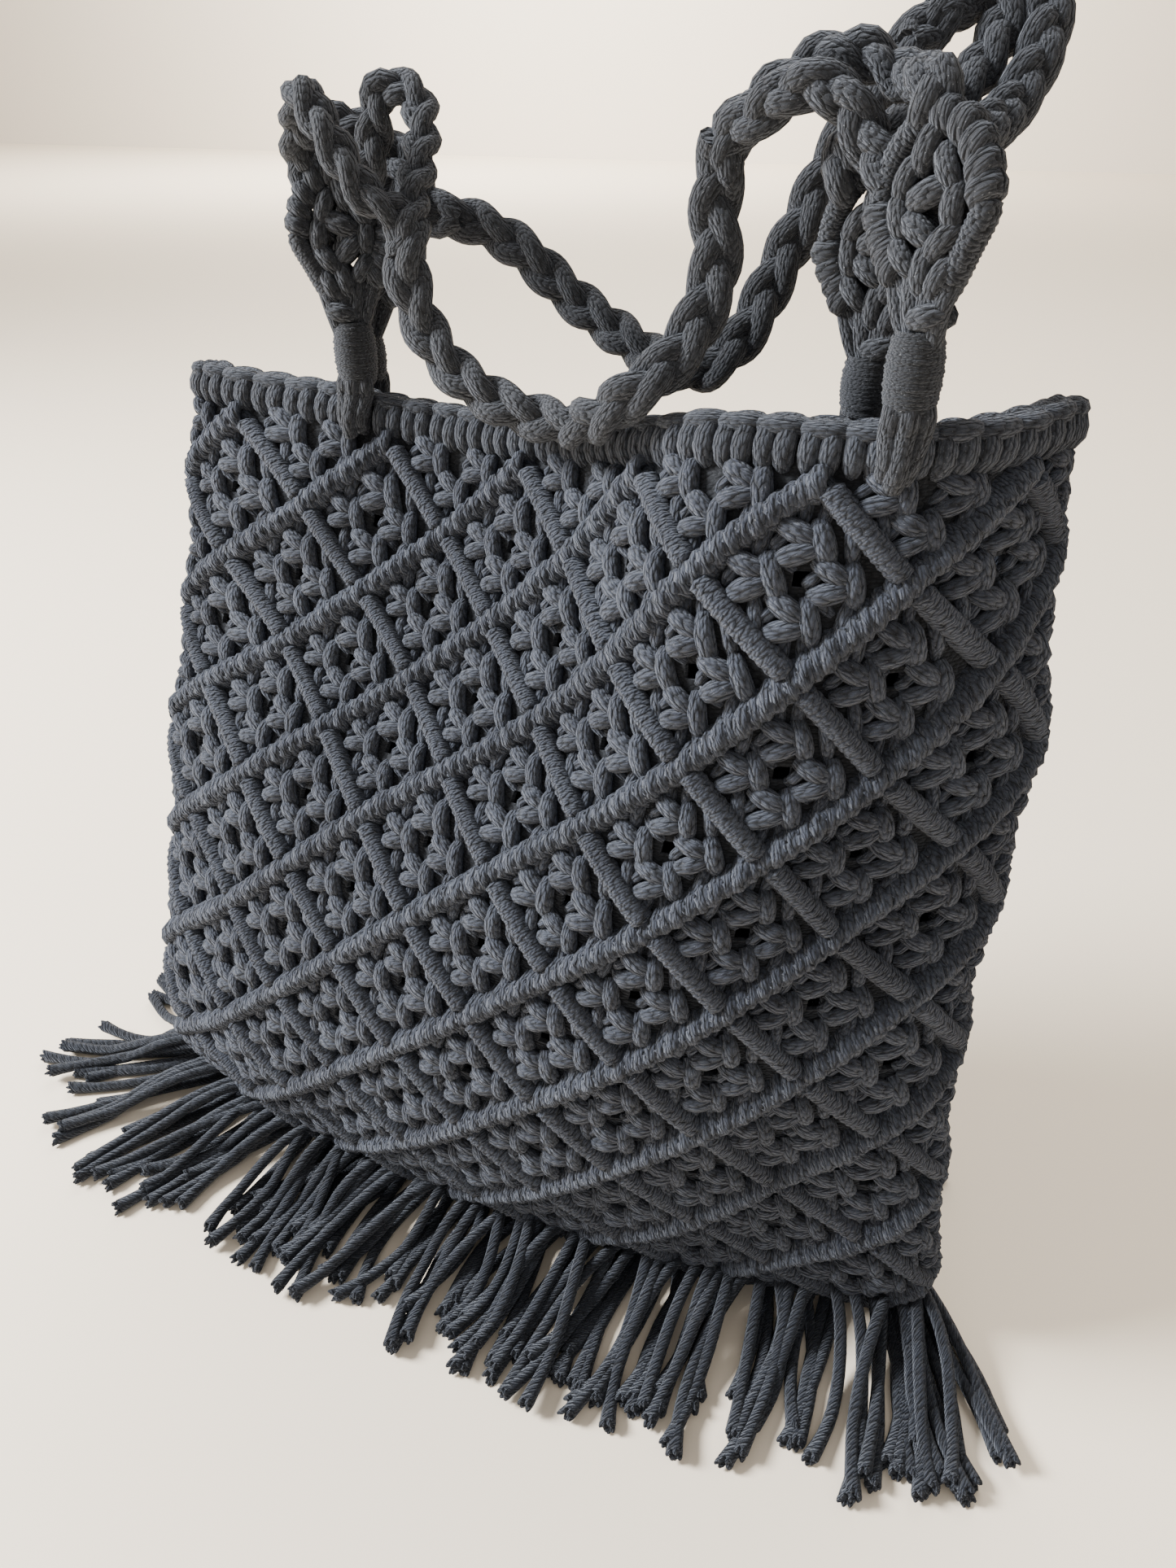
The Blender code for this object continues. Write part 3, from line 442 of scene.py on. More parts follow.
def hitch(turn, along, half, thick, wide, sides=6, rings=6):
    # One loop of a double half hitch over its ridge. turn is how it crosses, along how the ridge runs.
    t = np.linspace(-1, 1, rings)
    way = math.radians(turn)
    path = np.stack([math.cos(way) * t * half, math.sin(way) * t * half,
                     0.4 + 5.7 * np.sqrt(np.maximum(0.0, 1 - np.abs(t)**2.4))], axis=1)
    ridge = (math.cos(math.radians(along)), math.sin(math.radians(along)), 0.0)
    return tube(path / 1000, thick / 1000, wide / 1000, sides, ridge)


def roll(along, length, half, middle, tall, turns, sides=8):
    # Thin turns wound so closely that they read as one grooved roll. Millimetres.
    rings = 2 * turns + 1
    t = np.linspace(-1, 1, rings)
    way = math.radians(along)
    path = np.stack([math.cos(way) * t * length / 2, math.sin(way) * t * length / 2,
                     np.full(rings, middle)], axis=1)
    swell = np.where(np.arange(rings) % 2, 1.0, 0.90)
    swell[[0, -1]] = 0.55
    points, quads, marks = tube(path / 1000, half * swell / 1000, tall * swell / 1000, sides)
    return points, quads, marks[:, :, ::-1]


HITCH_PITCH = 0.0041       # from one hitch to the next along a ridge
SIDE_LENGTH = math.hypot(COLUMN, ROW)    # of a diamond
rising_hitch = hitch(92.0, 45.0, 4.3, 2.05, 2.75)
falling_roll = roll(-44.5, SIDE_LENGTH * 1000 * 0.86, 3.8, 2.9, 5.0, 12)

ridges_front = Pile()
ridges_back = Pile()
steps = round(13 * SIDE_LENGTH / HITCH_PITCH)
for line in range(1, 2 * 13, 2):
    for k in range(steps + 1):
        row = 0.02 + (LAST_ROW - 0.04) * k / steps
        column = line - row
        pile = ridges_front if on_front(column) else ridges_back
        stamp(pile, rising_hitch, column, row, rough.uniform(-4, 4), rough.uniform(0.95, 1.05))
    for part in range(13):
        column = line + part + 0.5
        pile = ridges_front if on_front(column) else ridges_back
        stamp(pile, falling_roll, column, part + 0.5, rough.uniform(-1.5, 1.5), rough.uniform(0.97, 1.03))


def line_cord(pile, columns, rows, heights, width, sides=8):
    # A cord that follows the cloth, in metres above its middle.
    path = on_bag(columns, rows, heights)
    up = on_bag(columns, rows, np.asarray(heights) + 0.001) - path
    up /= np.maximum(np.linalg.norm(up, axis=1, keepdims=True), 1e-9)
    flat = np.linalg.norm(up, axis=1) < 0.5
    up[flat] = (0.0, 0.0, 1.0)
    pile.add(*tube(path, width, width, sides, up))


# Cords that the hitches are tied over, outside and inside the wall: way along the row, height, radius
HOLDING_CORDS = ((-1, 0.0015, 0.0030), (-1, -0.0036, 0.0027), (1, 0.0010, 0.0028), (1, -0.0032, 0.0026))
cores = Pile()
for line in range(1, 26, 2):
    rows = np.linspace(0.0, 12.0, 49)
    for way, height, radius in HOLDING_CORDS:
        line_cord(cores, line + way * rows, rows, np.full(49, height), radius, 6)


GROUND_CELLS = 6           # cells of the ground to half a diamond
OPENING = 0.10             # half the width of the opening in a diamond, in half diamonds


def ground():
    # Knotted ground behind the knots, open in the middle of each diamond, in a dark colour that is painted
    # shade in the depth of the wall.
    columns = AROUND * GROUND_CELLS
    rows = 13 * GROUND_CELLS + 3
    c, r = np.meshgrid((np.arange(columns) + 0.5) / GROUND_CELLS,
                       -0.5 + (np.arange(rows + 1) - 0.5) / GROUND_CELLS)
    points = []
    for height in (0.0010, -0.0010):
        points.append(on_bag(c.ravel(), r.ravel(), np.full(c.size, height)))
    layer = columns * (rows + 1)
    quads = []
    solid = np.zeros((rows, columns), bool)
    for j in range(rows):
        for i in range(columns):
            middle_c = (i + 1) / GROUND_CELLS
            middle_r = -0.5 + j / GROUND_CELLS
            a = round(middle_c)
            b = round(middle_r)
            near = abs(middle_c - a) + abs(middle_r - b) < OPENING
            solid[j, i] = not (near and (a + b) % 2 == 0 and 1 <= b <= 11)
    for j in range(rows):
        for i in range(columns):
            if not solid[j, i]:
                continue
            n = (i + 1) % columns
            a, b = j * columns + i, j * columns + n
            d, e = (j + 1) * columns + i, (j + 1) * columns + n
            quads.append((a, d, e, b))
            quads.append((a + layer, b + layer, e + layer, d + layer))
            if j == 0 or not solid[j - 1, i]:
                quads.append((a, b, b + layer, a + layer))
            if j == rows - 1 or not solid[j + 1, i]:
                quads.append((e, d, d + layer, e + layer))
            if not solid[j, i - 1]:
                quads.append((d, a, a + layer, d + layer))
            if not solid[j, n]:
                quads.append((b, e, e + layer, b + layer))
    quads = np.array(quads)
    pile = Pile()
    marks = np.stack([np.concatenate([c.ravel(), c.ravel()])[quads] * 28,
                      np.concatenate([r.ravel(), r.ravel()])[quads] * 28], axis=2)
    pile.add(np.concatenate(points), quads, marks)
    return pile


# Row of lark's heads round the mouth: one bar over the edge and two legs below it, in millimetres.
def larks_head(sides=8):
    parts = [lobe(0.0, 14.2, 10.8, 0.0, 6.8, 0.4, 3.2, sides, 7)]
    for x, lean in ((-2.7, 0.2), (2.7, -0.1)):
        leg = np.array([(x, 13.4, 1.2), (x, 11.6, 3.2), (x + lean * 0.5, 9.0, 3.9), (x + lean, 6.6, 3.8),
                        (x + lean, 4.4, 2.4), (x + lean, 3.4, 0.4)])
        parts.append(tube(leg / 1000, np.array([2.4, 2.8, 3.0, 3.0, 2.8, 2.2]) / 1000, 0.0028, sides))
    return join(parts)


RIM_LOOPS = 65             # lark's heads all the way round
rim_front = Pile()
rim_back = Pile()
larks = larks_head()
larks_inside = larks_head(6)
for k in range(RIM_LOOPS):
    column = AROUND * (k + 0.35) / RIM_LOOPS
    pile = rim_front if on_front(column) else rim_back
    stamp(pile, larks, column, 0.0, rough.uniform(-3, 3), rough.uniform(0.96, 1.05))
    stamp(pile, larks_inside, column, 0.0, rough.uniform(-3, 3), 1.0, inside=True)
columns = np.linspace(0, AROUND, 209)
line_cord(rim_front, columns, np.full(209, -0.50), np.full(209, 0.0), 0.0030)


def rim_top(column):
    return cloth(column, -(CLEAR + RIM_ROW) / COLUMN)


# Handles. For each handle end: the column of the rim that it comes from, how far the leaf turns
# about the vertical, how far it tips back, and how far it leans to the right, in degrees.
# The last value is the length of the wrap as a share of WRAP_LENGTH.
# name: column, turn, tip, lean, wrap
HANDLE_ENDS = {
    "front_left": (2.55, 28.0, 8.0, -1.0, 1.0),
    "front_right": (9.60, -30.0, 6.0, -8.0, 1.0),
    "back_right": (15.95, -14.0, -3.0, -1.0, 0.78),
    "back_left": (22.9, 30.0, -4.0, 5.0, 0.80),
}


class HandleEnd:
    def __init__(self, name, column, turn, tip, lean, wrap_share):
        self.name = name
        self.column = column
        top = rim_top(column)
        n = outward(column, -0.3)
        n.z = 0
        n.normalize()
        self.out = n
        self.foot = top + n * (RIM_WALL * 0.75)
        self.foot.z = top.z + RIM_WALL * 0.30 + 4 * CLEAR
        self.wrap_length = WRAP_LENGTH * wrap_share
        t = math.radians(turn)
        b = math.radians(tip)
        s = math.radians(lean)
        right = Vector((math.cos(t), math.sin(t), 0.0))
        back = Vector((-math.sin(t), math.cos(t), 0.0))
        up = (Vector((0, 0, 1)) * math.cos(b) + back * math.sin(b)).normalized()
        self.right = (right * math.cos(s) - up * math.sin(s)).normalized()
        self.up = (up * math.cos(s) + right * math.sin(s)).normalized()
        self.face = self.right.cross(self.up).normalized()
        drop = LEAF_THICK * 0.225 * abs(self.face.z)
        bottom = self.foot + Vector((0, 0, self.wrap_length + CLEAR + drop))
        self.centre = bottom + self.up * (LEAF_LENGTH / 2)

    def radius(self, angle):
        # Leaf outline: an oval, a little pointed below.
        c = math.cos(angle)
        s = math.sin(angle)
        r = 1.0 / math.sqrt((c / (LEAF_WIDTH / 2)) ** 2 + (s / (LEAF_LENGTH / 2)) ** 2)
        low = max(0.0, -s)
        return r * (1 - 0.16 * low * abs(c) * 2)

    def point(self, angle, radius):
        return self.centre + self.right * (math.cos(angle) * radius) + self.up * (math.sin(angle) * radius)


ends = {name: HandleEnd(name, *row) for name, row in HANDLE_ENDS.items()}


def smooth_array(path, parts):
    # Rounder path through the same places.
    count = len(path)
    points = []
    for k in range(count - 1):
        p0, p1, p2, p3 = path[max(k - 1, 0)], path[k], path[k + 1], path[min(k + 2, count - 1)]
        for s in range(parts):
            t = s / parts
            points.append(0.5 * (2 * p1 + (p2 - p0) * t + (2 * p0 - 5 * p1 + 4 * p2 - p3) * t**2
                                 + (3 * p1 - p0 - 3 * p2 + p3) * t**3))
    points.append(path[-1])
    return np.array(points)


HALF_SPAN = 6 * COLUMN * 0.985
STRAP_RISE = 0.110          # the highest loop of a strap above the rim


def route(rows):
    # Chosen points of a strap: across as a share of HALF_SPAN, forward as a share of BELLY_DEPTH,
    # up from RIM_HEIGHT as a share of STRAP_RISE.
    return [Vector((across * HALF_SPAN, -forward * BELLY_DEPTH, RIM_HEIGHT + up * STRAP_RISE))
            for across, forward, up in rows]


# across, forward, up
FRONT_MAIN = (
    (-0.270, 0.16, 0.44), (-0.265, 0.20, 0.33), (-0.245, 0.19, 0.20), (-0.185, 0.20, 0.085),
    (-0.085, 0.21, 0.005), (0.035, 0.22, -0.030), (0.130, 0.32, 0.010), (0.205, 0.36, 0.090),
    (0.270, 0.24, 0.190), (0.300, 0.12, 0.350), (0.290, 0.09, 0.520), (0.305, 0.10, 0.650),
)
# name: the oval it starts from, the angle there in degrees, and its route
FRONT_BRANCHES = {
    "near_left": ("front_left", 115.7,
                  ((-0.475, 0.13, 0.735), (-0.400, 0.22, 0.650), (-0.330, 0.22, 0.510))),
    "far_left": ("front_left", 64.3,
                 ((-0.415, -0.17, 0.740), (-0.345, -0.18, 0.725), (-0.300, -0.06, 0.610))),
    "outer_right": ("front_right", 96.0,
                    ((0.570, 0.10, 0.775), (0.475, 0.07, 0.825), (0.380, 0.07, 0.760),
                     (0.320, 0.08, 0.690))),
    "inner_right": ("front_right", 141.4,
                    ((0.500, 0.24, 0.735), (0.430, 0.22, 0.755), (0.355, 0.16, 0.690))),
}
BACK_MAIN = (
    (-0.385, -0.34, 0.430), (-0.290, -0.38, 0.400), (-0.190, -0.38, 0.335), (-0.090, -0.40, 0.215),
    (0.010, -0.38, 0.130), (0.120, -0.30, 0.070), (0.225, -0.22, 0.065), (0.300, -0.24, 0.160),
    (0.345, -0.33, 0.330), (0.395, -0.35, 0.500), (0.440, -0.40, 0.650), (0.490, -0.48, 0.800),
    (0.560, -0.60, 0.920),
)
BACK_BRANCHES = {
    "low_left": ("back_left", 64.3, ((-0.445, -0.40, 0.505),)),
    "high_left": ("back_left", 115.7,
                  ((-0.585, -0.30, 0.650), (-0.510, -0.37, 0.630), (-0.440, -0.37, 0.545))),
    "inner_right": ("back_right", 115.7,
                    ((0.600, -0.38, 0.720), (0.650, -0.58, 0.860), (0.640, -0.66, 0.955))),
    "outer_right": ("back_right", 64.3,
                    ((0.690, -0.34, 0.690), (0.725, -0.54, 0.850), (0.700, -0.68, 0.985),
                     (0.630, -0.68, 0.990))),
}


# Fringe: where a lock points, in degrees from +X, and its length as a share of LOCK_LENGTH.
# column, direction, length
FRONT_LOCKS = (
    (-1.0, 150.0, 0.95), (0.0, 195.0, 1.15), (1.0, 240.0, 1.22), (3.0, 256.0, 0.98), (6.0, 262.0, 0.98),
    (9.0, 268.0, 1.0), (11.0, 276.0, 1.05), (12.0, 289.0, 1.16), (13.0, 311.0, 1.15),
)
BACK_LOCKS = (
    (13.8, 56.0, 0.80), (15.0, 75.0, 0.95), (17.0, 88.0, 1.0), (19.0, 92.0, 0.92), (21.0, 90.0, 1.0),
    (23.0, 100.0, 0.95), (24.2, 150.0, 0.80),
)


def on_table(points):
    return np.array([(p.x - MIDDLE[0], p.y - MIDDLE[1], p.z) for p in points])


def framed(path):
    # Steady side and third directions along a path.
    ahead = np.gradient(path, axis=0)
    ahead /= np.maximum(np.linalg.norm(ahead, axis=1, keepdims=True), 1e-12)
    sides = []
    side = np.cross(ahead[0], (0.0, -1.0, 0.0))
    if np.linalg.norm(side) < 0.2:
        side = np.cross(ahead[0], (0.0, 0.0, 1.0))
    for way in ahead:
        side = side - way * np.dot(side, way)
        side = side / np.linalg.norm(side)
        sides.append(side)
    sides = np.array(sides)
    return sides, np.cross(ahead, sides)


def apart_from(run, third):
    # Third directions squared up to the way that a strand runs.
    flat = third - run * np.sum(third * run, axis=1, keepdims=True)
    return flat / np.maximum(np.linalg.norm(flat, axis=1, keepdims=True), 1e-12)


def plaited(pile, path, width, thick, pitch, strand, start=0.0):
    # Three soft fat strands plaited. pitch is one whole round of a strand, strand its radius.
    side, third = framed(path)
    step = np.linalg.norm(np.diff(path, axis=0), axis=1)
    far = np.concatenate([[0.0], np.cumsum(step)])
    sway = width / 2 - strand * 0.92
    depth = thick / 2 - strand * 0.80
    for k in range(3):
        phase = 2 * np.pi * (far / pitch + k / 3) + start
        x = sway * np.sin(phase)
        z = depth * np.sin(2 * phase)
        centre = path + side * x[:, None] + third * z[:, None]
        run = np.gradient(centre, axis=0)
        run /= np.maximum(np.linalg.norm(run, axis=1, keepdims=True), 1e-12)
        pile.add(*tube(centre, strand * 1.02, strand * 0.90, 8, apart_from(run, third)))


def even(points):
    # Even places along a smooth curve through the chosen points.
    fine = smooth_array(on_table(points), 12)
    far = np.concatenate([[0.0], np.cumsum(np.linalg.norm(np.diff(fine, axis=0), axis=1))])
    places = np.linspace(0.0, far[-1], max(3, round(far[-1] / PLAIT_STEP)) + 1)
    return np.stack([np.interp(places, far, fine[:, axis]) for axis in range(3)], axis=1)


straps_front = Pile()
straps_back = Pile()


def strap(pile, main_rows, branches, fat):
    # A whole strap. fat is how much thicker its branches are than BRANCH_WIDTH and BRANCH_THICK.
    main = route(main_rows)
    plaited(pile, even(main), STRAP_WIDTH * 1.06, STRAP_THICK * 1.04, STRAP_PITCH, STRAP_STRAND)
    for name, (end_name, angle, rows) in branches.items():
        end = ends[end_name]
        a = math.radians(angle)
        edge = end.radius(a)
        left = name.endswith("left")
        far = main[0] if left else main[-1]
        after = main[1] if left else main[-2]
        points = [end.point(a, edge - 0.004), end.point(a, edge + 0.004)] + route(rows)
        points += [far, far.lerp(after, 0.7)]
        plaited(pile, even(points), BRANCH_WIDTH * fat, BRANCH_THICK * fat, BRANCH_PITCH,
                BRANCH_STRAND * fat, 0.7)


strap(straps_front, FRONT_MAIN, FRONT_BRANCHES, 1.16)
strap(straps_back, BACK_MAIN, BACK_BRANCHES, 1.32)


# Lumps of cord inside a knotted oval: across, up, turn, length and width, in millimetres
LEAF_LUMPS = (
    (-1.0, 14.0, 75.0, 10.0, 6.2), (5.2, 9.5, 115.0, 9.5, 6.0), (-6.0, 8.0, 60.0, 9.0, 5.8),
    (0.3, 4.6, 20.0, 10.0, 6.8), (7.6, 1.6, 95.0, 9.0, 6.0), (-7.2, 0.4, 100.0, 9.0, 5.8),
    (-1.4, -2.6, -40.0, 9.5, 6.4), (5.4, -5.6, 50.0, 9.5, 6.2), (-5.4, -8.2, 125.0, 9.0, 5.6),
    (0.9, -11.4, 80.0, 10.0, 6.0), (5.6, -13.4, 65.0, 9.0, 5.4), (3.0, -21.5, 15.0, 8.0, 6.6),
)
LEAF_WOUND = ((92.0, 168.0), (-80.0, 10.0))      # stretches of the border that are finely wound, in degrees
LEAF_LOOPS = ((10.0, 92.0, 5), (168.0, 236.0, 4))    # stretches of fat loops, and how many

# Cords that gather from the border into the wrap: across at the wrap, across and up above it, radius
LEAF_GATHERS = ((-3.2, -9.0, -13.0, 2.0), (-0.5, -3.2, -12.5, 2.8), (2.2, 2.6, -12.0, 2.8),
                (4.2, 8.0, -13.5, 2.6))


def leaf(pile, end):
    # Knotted oval: a border part finely wound and part of fat loops, filled with lumps of knotted cord.
    right = np.array(end.right) * (1.0 if end.name.endswith("right") else -1.0)
    up = np.array(end.up)
    face = np.array(end.face)
    centre = on_table([end.centre])[0]

    def at(angle, radius):
        return centre + right * (math.cos(angle) * radius) + up * (math.sin(angle) * radius)

    for first, last in LEAF_WOUND:
        angles = np.radians(np.linspace(first, last, 31))
        path = np.array([at(a, end.radius(a) - 0.0035) for a in angles])
        swell = np.where(np.arange(31) % 2, 0.0035, 0.0032)
        swell[[0, -1]] = 0.0024
        points, quads, marks = tube(path, swell, swell * 1.15, 8, face)
        pile.add(points, quads, marks[:, :, ::-1])
    whole = np.linspace(0, 2 * np.pi, 15)
    for first, last, count in LEAF_LOOPS:
        for k in range(count):
            angle = math.radians(first + (last - first) * (k + 0.5) / count)
            spot = at(angle, end.radius(angle) - 0.0036)
            out = right * math.cos(angle) + up * math.sin(angle)
            along = up * math.cos(angle) - right * math.sin(angle)
            lean = out + along * rough.uniform(0.15, 0.35)
            path = spot + np.outer(np.cos(whole) * 0.0022, lean) + np.outer(np.sin(whole) * 0.0026, face)
            pile.add(*tube(path, 0.0026, 0.0034, 8, along))
    loop = np.array([at(a, end.radius(a) - 0.0040) for a in np.linspace(0, 2 * math.pi, 49)])
    pile.add(*tube(loop, 0.0024, 0.0024, 6, face))
    t = np.linspace(-1, 1, 7)
    for sign in (1, -1):
        for x, y, turn, length, width in LEAF_LUMPS:
            a = math.radians(turn + rough.uniform(-8, 8))
            middle = centre + right * (x / 1000) + up * (y / 1000)
            way = right * math.cos(a) + up * math.sin(a)
            path = middle + way * (t * length / 2000)[:, None]
            path = path + face * (sign * (0.0004 + 0.0026 * np.sqrt(1 - 0.92 * t**2)))[:, None]
            swell = width / 2000 * (0.66 + 0.34 * np.sqrt(1 - 0.96 * t**2))
            pile.add(*tube(path, swell, swell * 0.9, 8, face))
    for low_x, high_x, high_y, thick in LEAF_GATHERS:
        low = centre - up * (LEAF_LENGTH / 2 + 0.0035) + right * (low_x / 1000)
        high = centre + up * (high_y / 1000) + right * (high_x / 1000)
        share = np.linspace(0, 1, 7)[:, None]
        path = low + (high - low) * share + face * (0.0014 * np.sin(np.pi * share))
        pile.add(*tube(path, thick / 1000, thick / 1000, 8, face))


# Cord ends folded over the rim: across from the middle of the wrap, length as a share of TAIL_LENGTH,
# and how far it lies over or under its neighbours
FOLDED_ENDS = ((-0.0039, 1.00, 0.0), (0.0039, 1.04, 0.0), (0.0, 1.22, 0.0016),
               (-0.0020, 0.75, -0.0015), (0.0021, 0.78, -0.0015))


def wound_root(thread, pile, end):
    # Thin cord wound round the handle's cords, and their folded ends lying over the rim.
    foot = on_table([end.foot])[0]
    turns = round(end.wrap_length / WINDING_PITCH)
    count = turns * 20
    a = np.linspace(0, 2 * np.pi * turns, count + 1)
    share = a / a[-1]
    swell = WRAP_RADIUS * (0.55 + 0.23 * np.sin(share * np.pi)**0.4 + 0.015 * np.sin(share * 37)
                           + 0.01 * np.sin(a * 0.5))
    path = np.stack([foot[0] + np.cos(a) * swell, foot[1] + np.sin(a) * swell,
                     foot[2] + 0.0006 + share * (end.wrap_length - 0.0008)], axis=1)
    outward_now = np.stack([np.cos(a), np.sin(a), np.zeros(len(a))], axis=1)
    thread.add(*tube(path, 0.00090, 0.00060, 4, outward_now))
    out = np.array(end.out)
    side = np.array((-end.out.y, end.out.x, 0.0))
    for x, low, lift in FOLDED_ENDS:
        path = [foot + side * x * 0.8 + np.array((0, 0, 0.004))]
        path.append(foot + side * x + out * (0.0030 + lift) + np.array((0, 0, 0.0006)))
        for drop in (0.12, 0.45, 0.75, 1.0):
            row = -(CLEAR + RIM_ROW - TAIL_LENGTH * low * drop) / COLUMN
            height = RIM_WALL / 2 + 0.0042 + lift - 0.012 * max(0.0, drop - 0.75)
            spot = on_bag([end.column], [row], [height])[0]
            path.append(spot + side * x * (1.05 - 0.45 * drop))
        pile.add(*tube(smooth_array(path, 3), np.linspace(0.0030, 0.0028, 16), 0.0029, 8, out))


leaves = {name: Pile() for name in ends}
wound = {name: Pile() for name in ends}
threads = {name: Pile() for name in ends}
for name, end in ends.items():
    leaf(leaves[name], end)
    wound_root(threads[name], wound[name], end)


def fringe_cord(pile, column, layer, direction, length):
    # One cut cord: out from under the base, down to the table and along it to a frayed end. Layer 0 is
    # the lower one.
    row = 11.70 if layer else 12.02
    root = on_bag([column], [row], [0.0005 if layer else -0.0015])[0]
    inner_root = on_bag([column], [row + 0.10], [-0.0030])[0]
    bed = CUT_REST + (0.0040 if layer else 0.0)
    a = math.radians(direction)
    heading = np.array((math.cos(a), math.sin(a), 0.0))
    across = np.array((-math.sin(a), math.cos(a), 0.0))
    root[2] = max(root[2], bed)
    inner_root[2] = max(inner_root[2], bed)
    bend = rough.uniform(-0.011, 0.011)
    hook = rough.uniform(-0.004, 0.004)
    rise = rough.uniform(0.0, 0.007) if layer else rough.uniform(0.0, 0.0012)
    landing = rough.uniform(0.45, 0.85) if layer else 0.3
    rest = CUT_REST + (rough.uniform(0.0, 0.0036) if layer else 0.0)
    path = [inner_root]
    for share in (0.0, 0.07, 0.17, 0.32, 0.5, 0.7, 0.86, 1.0):
        fall = min(1.0, share / landing)
        z = root[2] + (rest - root[2]) * (3 * fall**2 - 2 * fall**3) + rise * math.sin(math.pi * fall)
        spot = root + heading * (length * share) + across * (bend * math.sin(share * 2.4) + hook * share**3)
        spot[2] = max(z, CUT_REST)
        path.append(spot)
    line = smooth_array(np.array(path), 2)
    widths = np.full(len(line), CUT_RADIUS)
    widths[-3:] = (0.0023, 0.0026, 0.0029)
    line[:, 2] = np.maximum(line[:, 2], widths + 0.0001)
    pile.add(*tube(line, widths, widths * 0.97, 8))
    end_way = line[-1] - line[-2]
    end_way /= np.linalg.norm(end_way)
    third = np.cross(end_way, across)
    thin = np.array([0.0013, 0.0011, 0.0004])
    for k in range(6):
        turn = 2 * math.pi * k / 6 + rough.uniform(-0.4, 0.4)
        spread = across * math.cos(turn) + third * math.sin(turn)
        base = line[-1] + spread * 0.0015
        tip = base + end_way * rough.uniform(0.0012, 0.0026) + spread * rough.uniform(0.0003, 0.0014)
        base[2] = max(base[2], 0.0008)
        tip[2] = max(tip[2], 0.0006)
        pile.add(*tube(np.array([base - end_way * 0.0008, (base + tip) / 2, tip]), thin, thin, 4))


fringe_front = Pile()
fringe_back = Pile()
for locks, pile, count in ((FRONT_LOCKS, fringe_front, 80), (BACK_LOCKS, fringe_back, 56)):
    knots, ways, shares = zip(*locks)
    first = knots[0]
    last = knots[-1]
    for layer in (0, 1):
        for k in range(count):
            if k % CLUMP == 0:
                lean = rough.uniform(-11, 11)
                pull = rough.uniform(0.0, 0.24)
            middle = (k // CLUMP + 0.5) * CLUMP
            place = k + 0.5 + (middle - k - 0.5) * pull + rough.uniform(-0.2, 0.2) + 0.5 * layer
            column = first + (last - first) * min(place, count) / count
            direction = np.interp(column, knots, ways) + lean + rough.uniform(-8, 8)
            length = LOCK_LENGTH * np.interp(column, knots, shares)
            length *= rough.uniform(0.80, 1.08) * (1.0 if layer else 0.94)
            fringe_cord(pile, column, layer, direction, length)


class Value:
    # A shader socket that Python sums can be written with.
    def __init__(self, tree, socket):
        self.tree = tree
        self.socket = socket

    def sum_node(self, operation, first, second=None):
        node = self.tree.nodes.new("ShaderNodeMath")
        node.operation = operation
        for k, item in enumerate((first, second)):
            if isinstance(item, Value):
                self.tree.links.new(item.socket, node.inputs[k])
            elif item is not None:
                node.inputs[k].default_value = item
        return Value(self.tree, node.outputs[0])

    def __add__(self, other):
        return self.sum_node("ADD", self, other)

    def __sub__(self, other):
        return self.sum_node("SUBTRACT", self, other)

    def __rsub__(self, other):
        return self.sum_node("SUBTRACT", other, self)

    def __mul__(self, other):
        return self.sum_node("MULTIPLY", self, other)

    def __truediv__(self, other):
        return self.sum_node("DIVIDE", self, other)

    def power(self, exponent):
        return self.sum_node("POWER", self, exponent)

    def clamped(self):
        self.socket.node.use_clamp = True
        return self


class Finish:
    # A material under construction. node() adds any node with its settings and sockets.
    def __init__(self, name, roughness, sheen=0.0, sheen_tint=(1.0, 1.0, 1.0, 1.0)):
        self.material = bpy.data.materials.new(name)
        self.material.use_nodes = True
        self.tree = self.material.node_tree
        self.shader = self.tree.nodes["Principled BSDF"]
        self.shader.inputs["Roughness"].default_value = roughness
        self.shader.inputs["Specular IOR Level"].default_value = 0.25
        self.shader.inputs["Sheen Weight"].default_value = sheen
        self.shader.inputs["Sheen Roughness"].default_value = 0.55
        self.shader.inputs["Sheen Tint"].default_value = sheen_tint

    def node(self, kind, settings=None, inputs=None, output=0):
        node = self.tree.nodes.new(kind)
        for key, setting in (settings or {}).items():
            setattr(node, key, setting)
        for key, item in (inputs or {}).items():
            if isinstance(item, Value):
                self.tree.links.new(item.socket, node.inputs[key])
            else:
                node.inputs[key].default_value = item
        return Value(self.tree, node.outputs[output])

    def mix(self, share, low, high):
        return self.node("ShaderNodeMix", {"data_type": "RGBA"}, {0: share, 6: low, 7: high}, 2)

    def feed(self, name, value):
        self.tree.links.new(value.socket, self.shader.inputs[name])


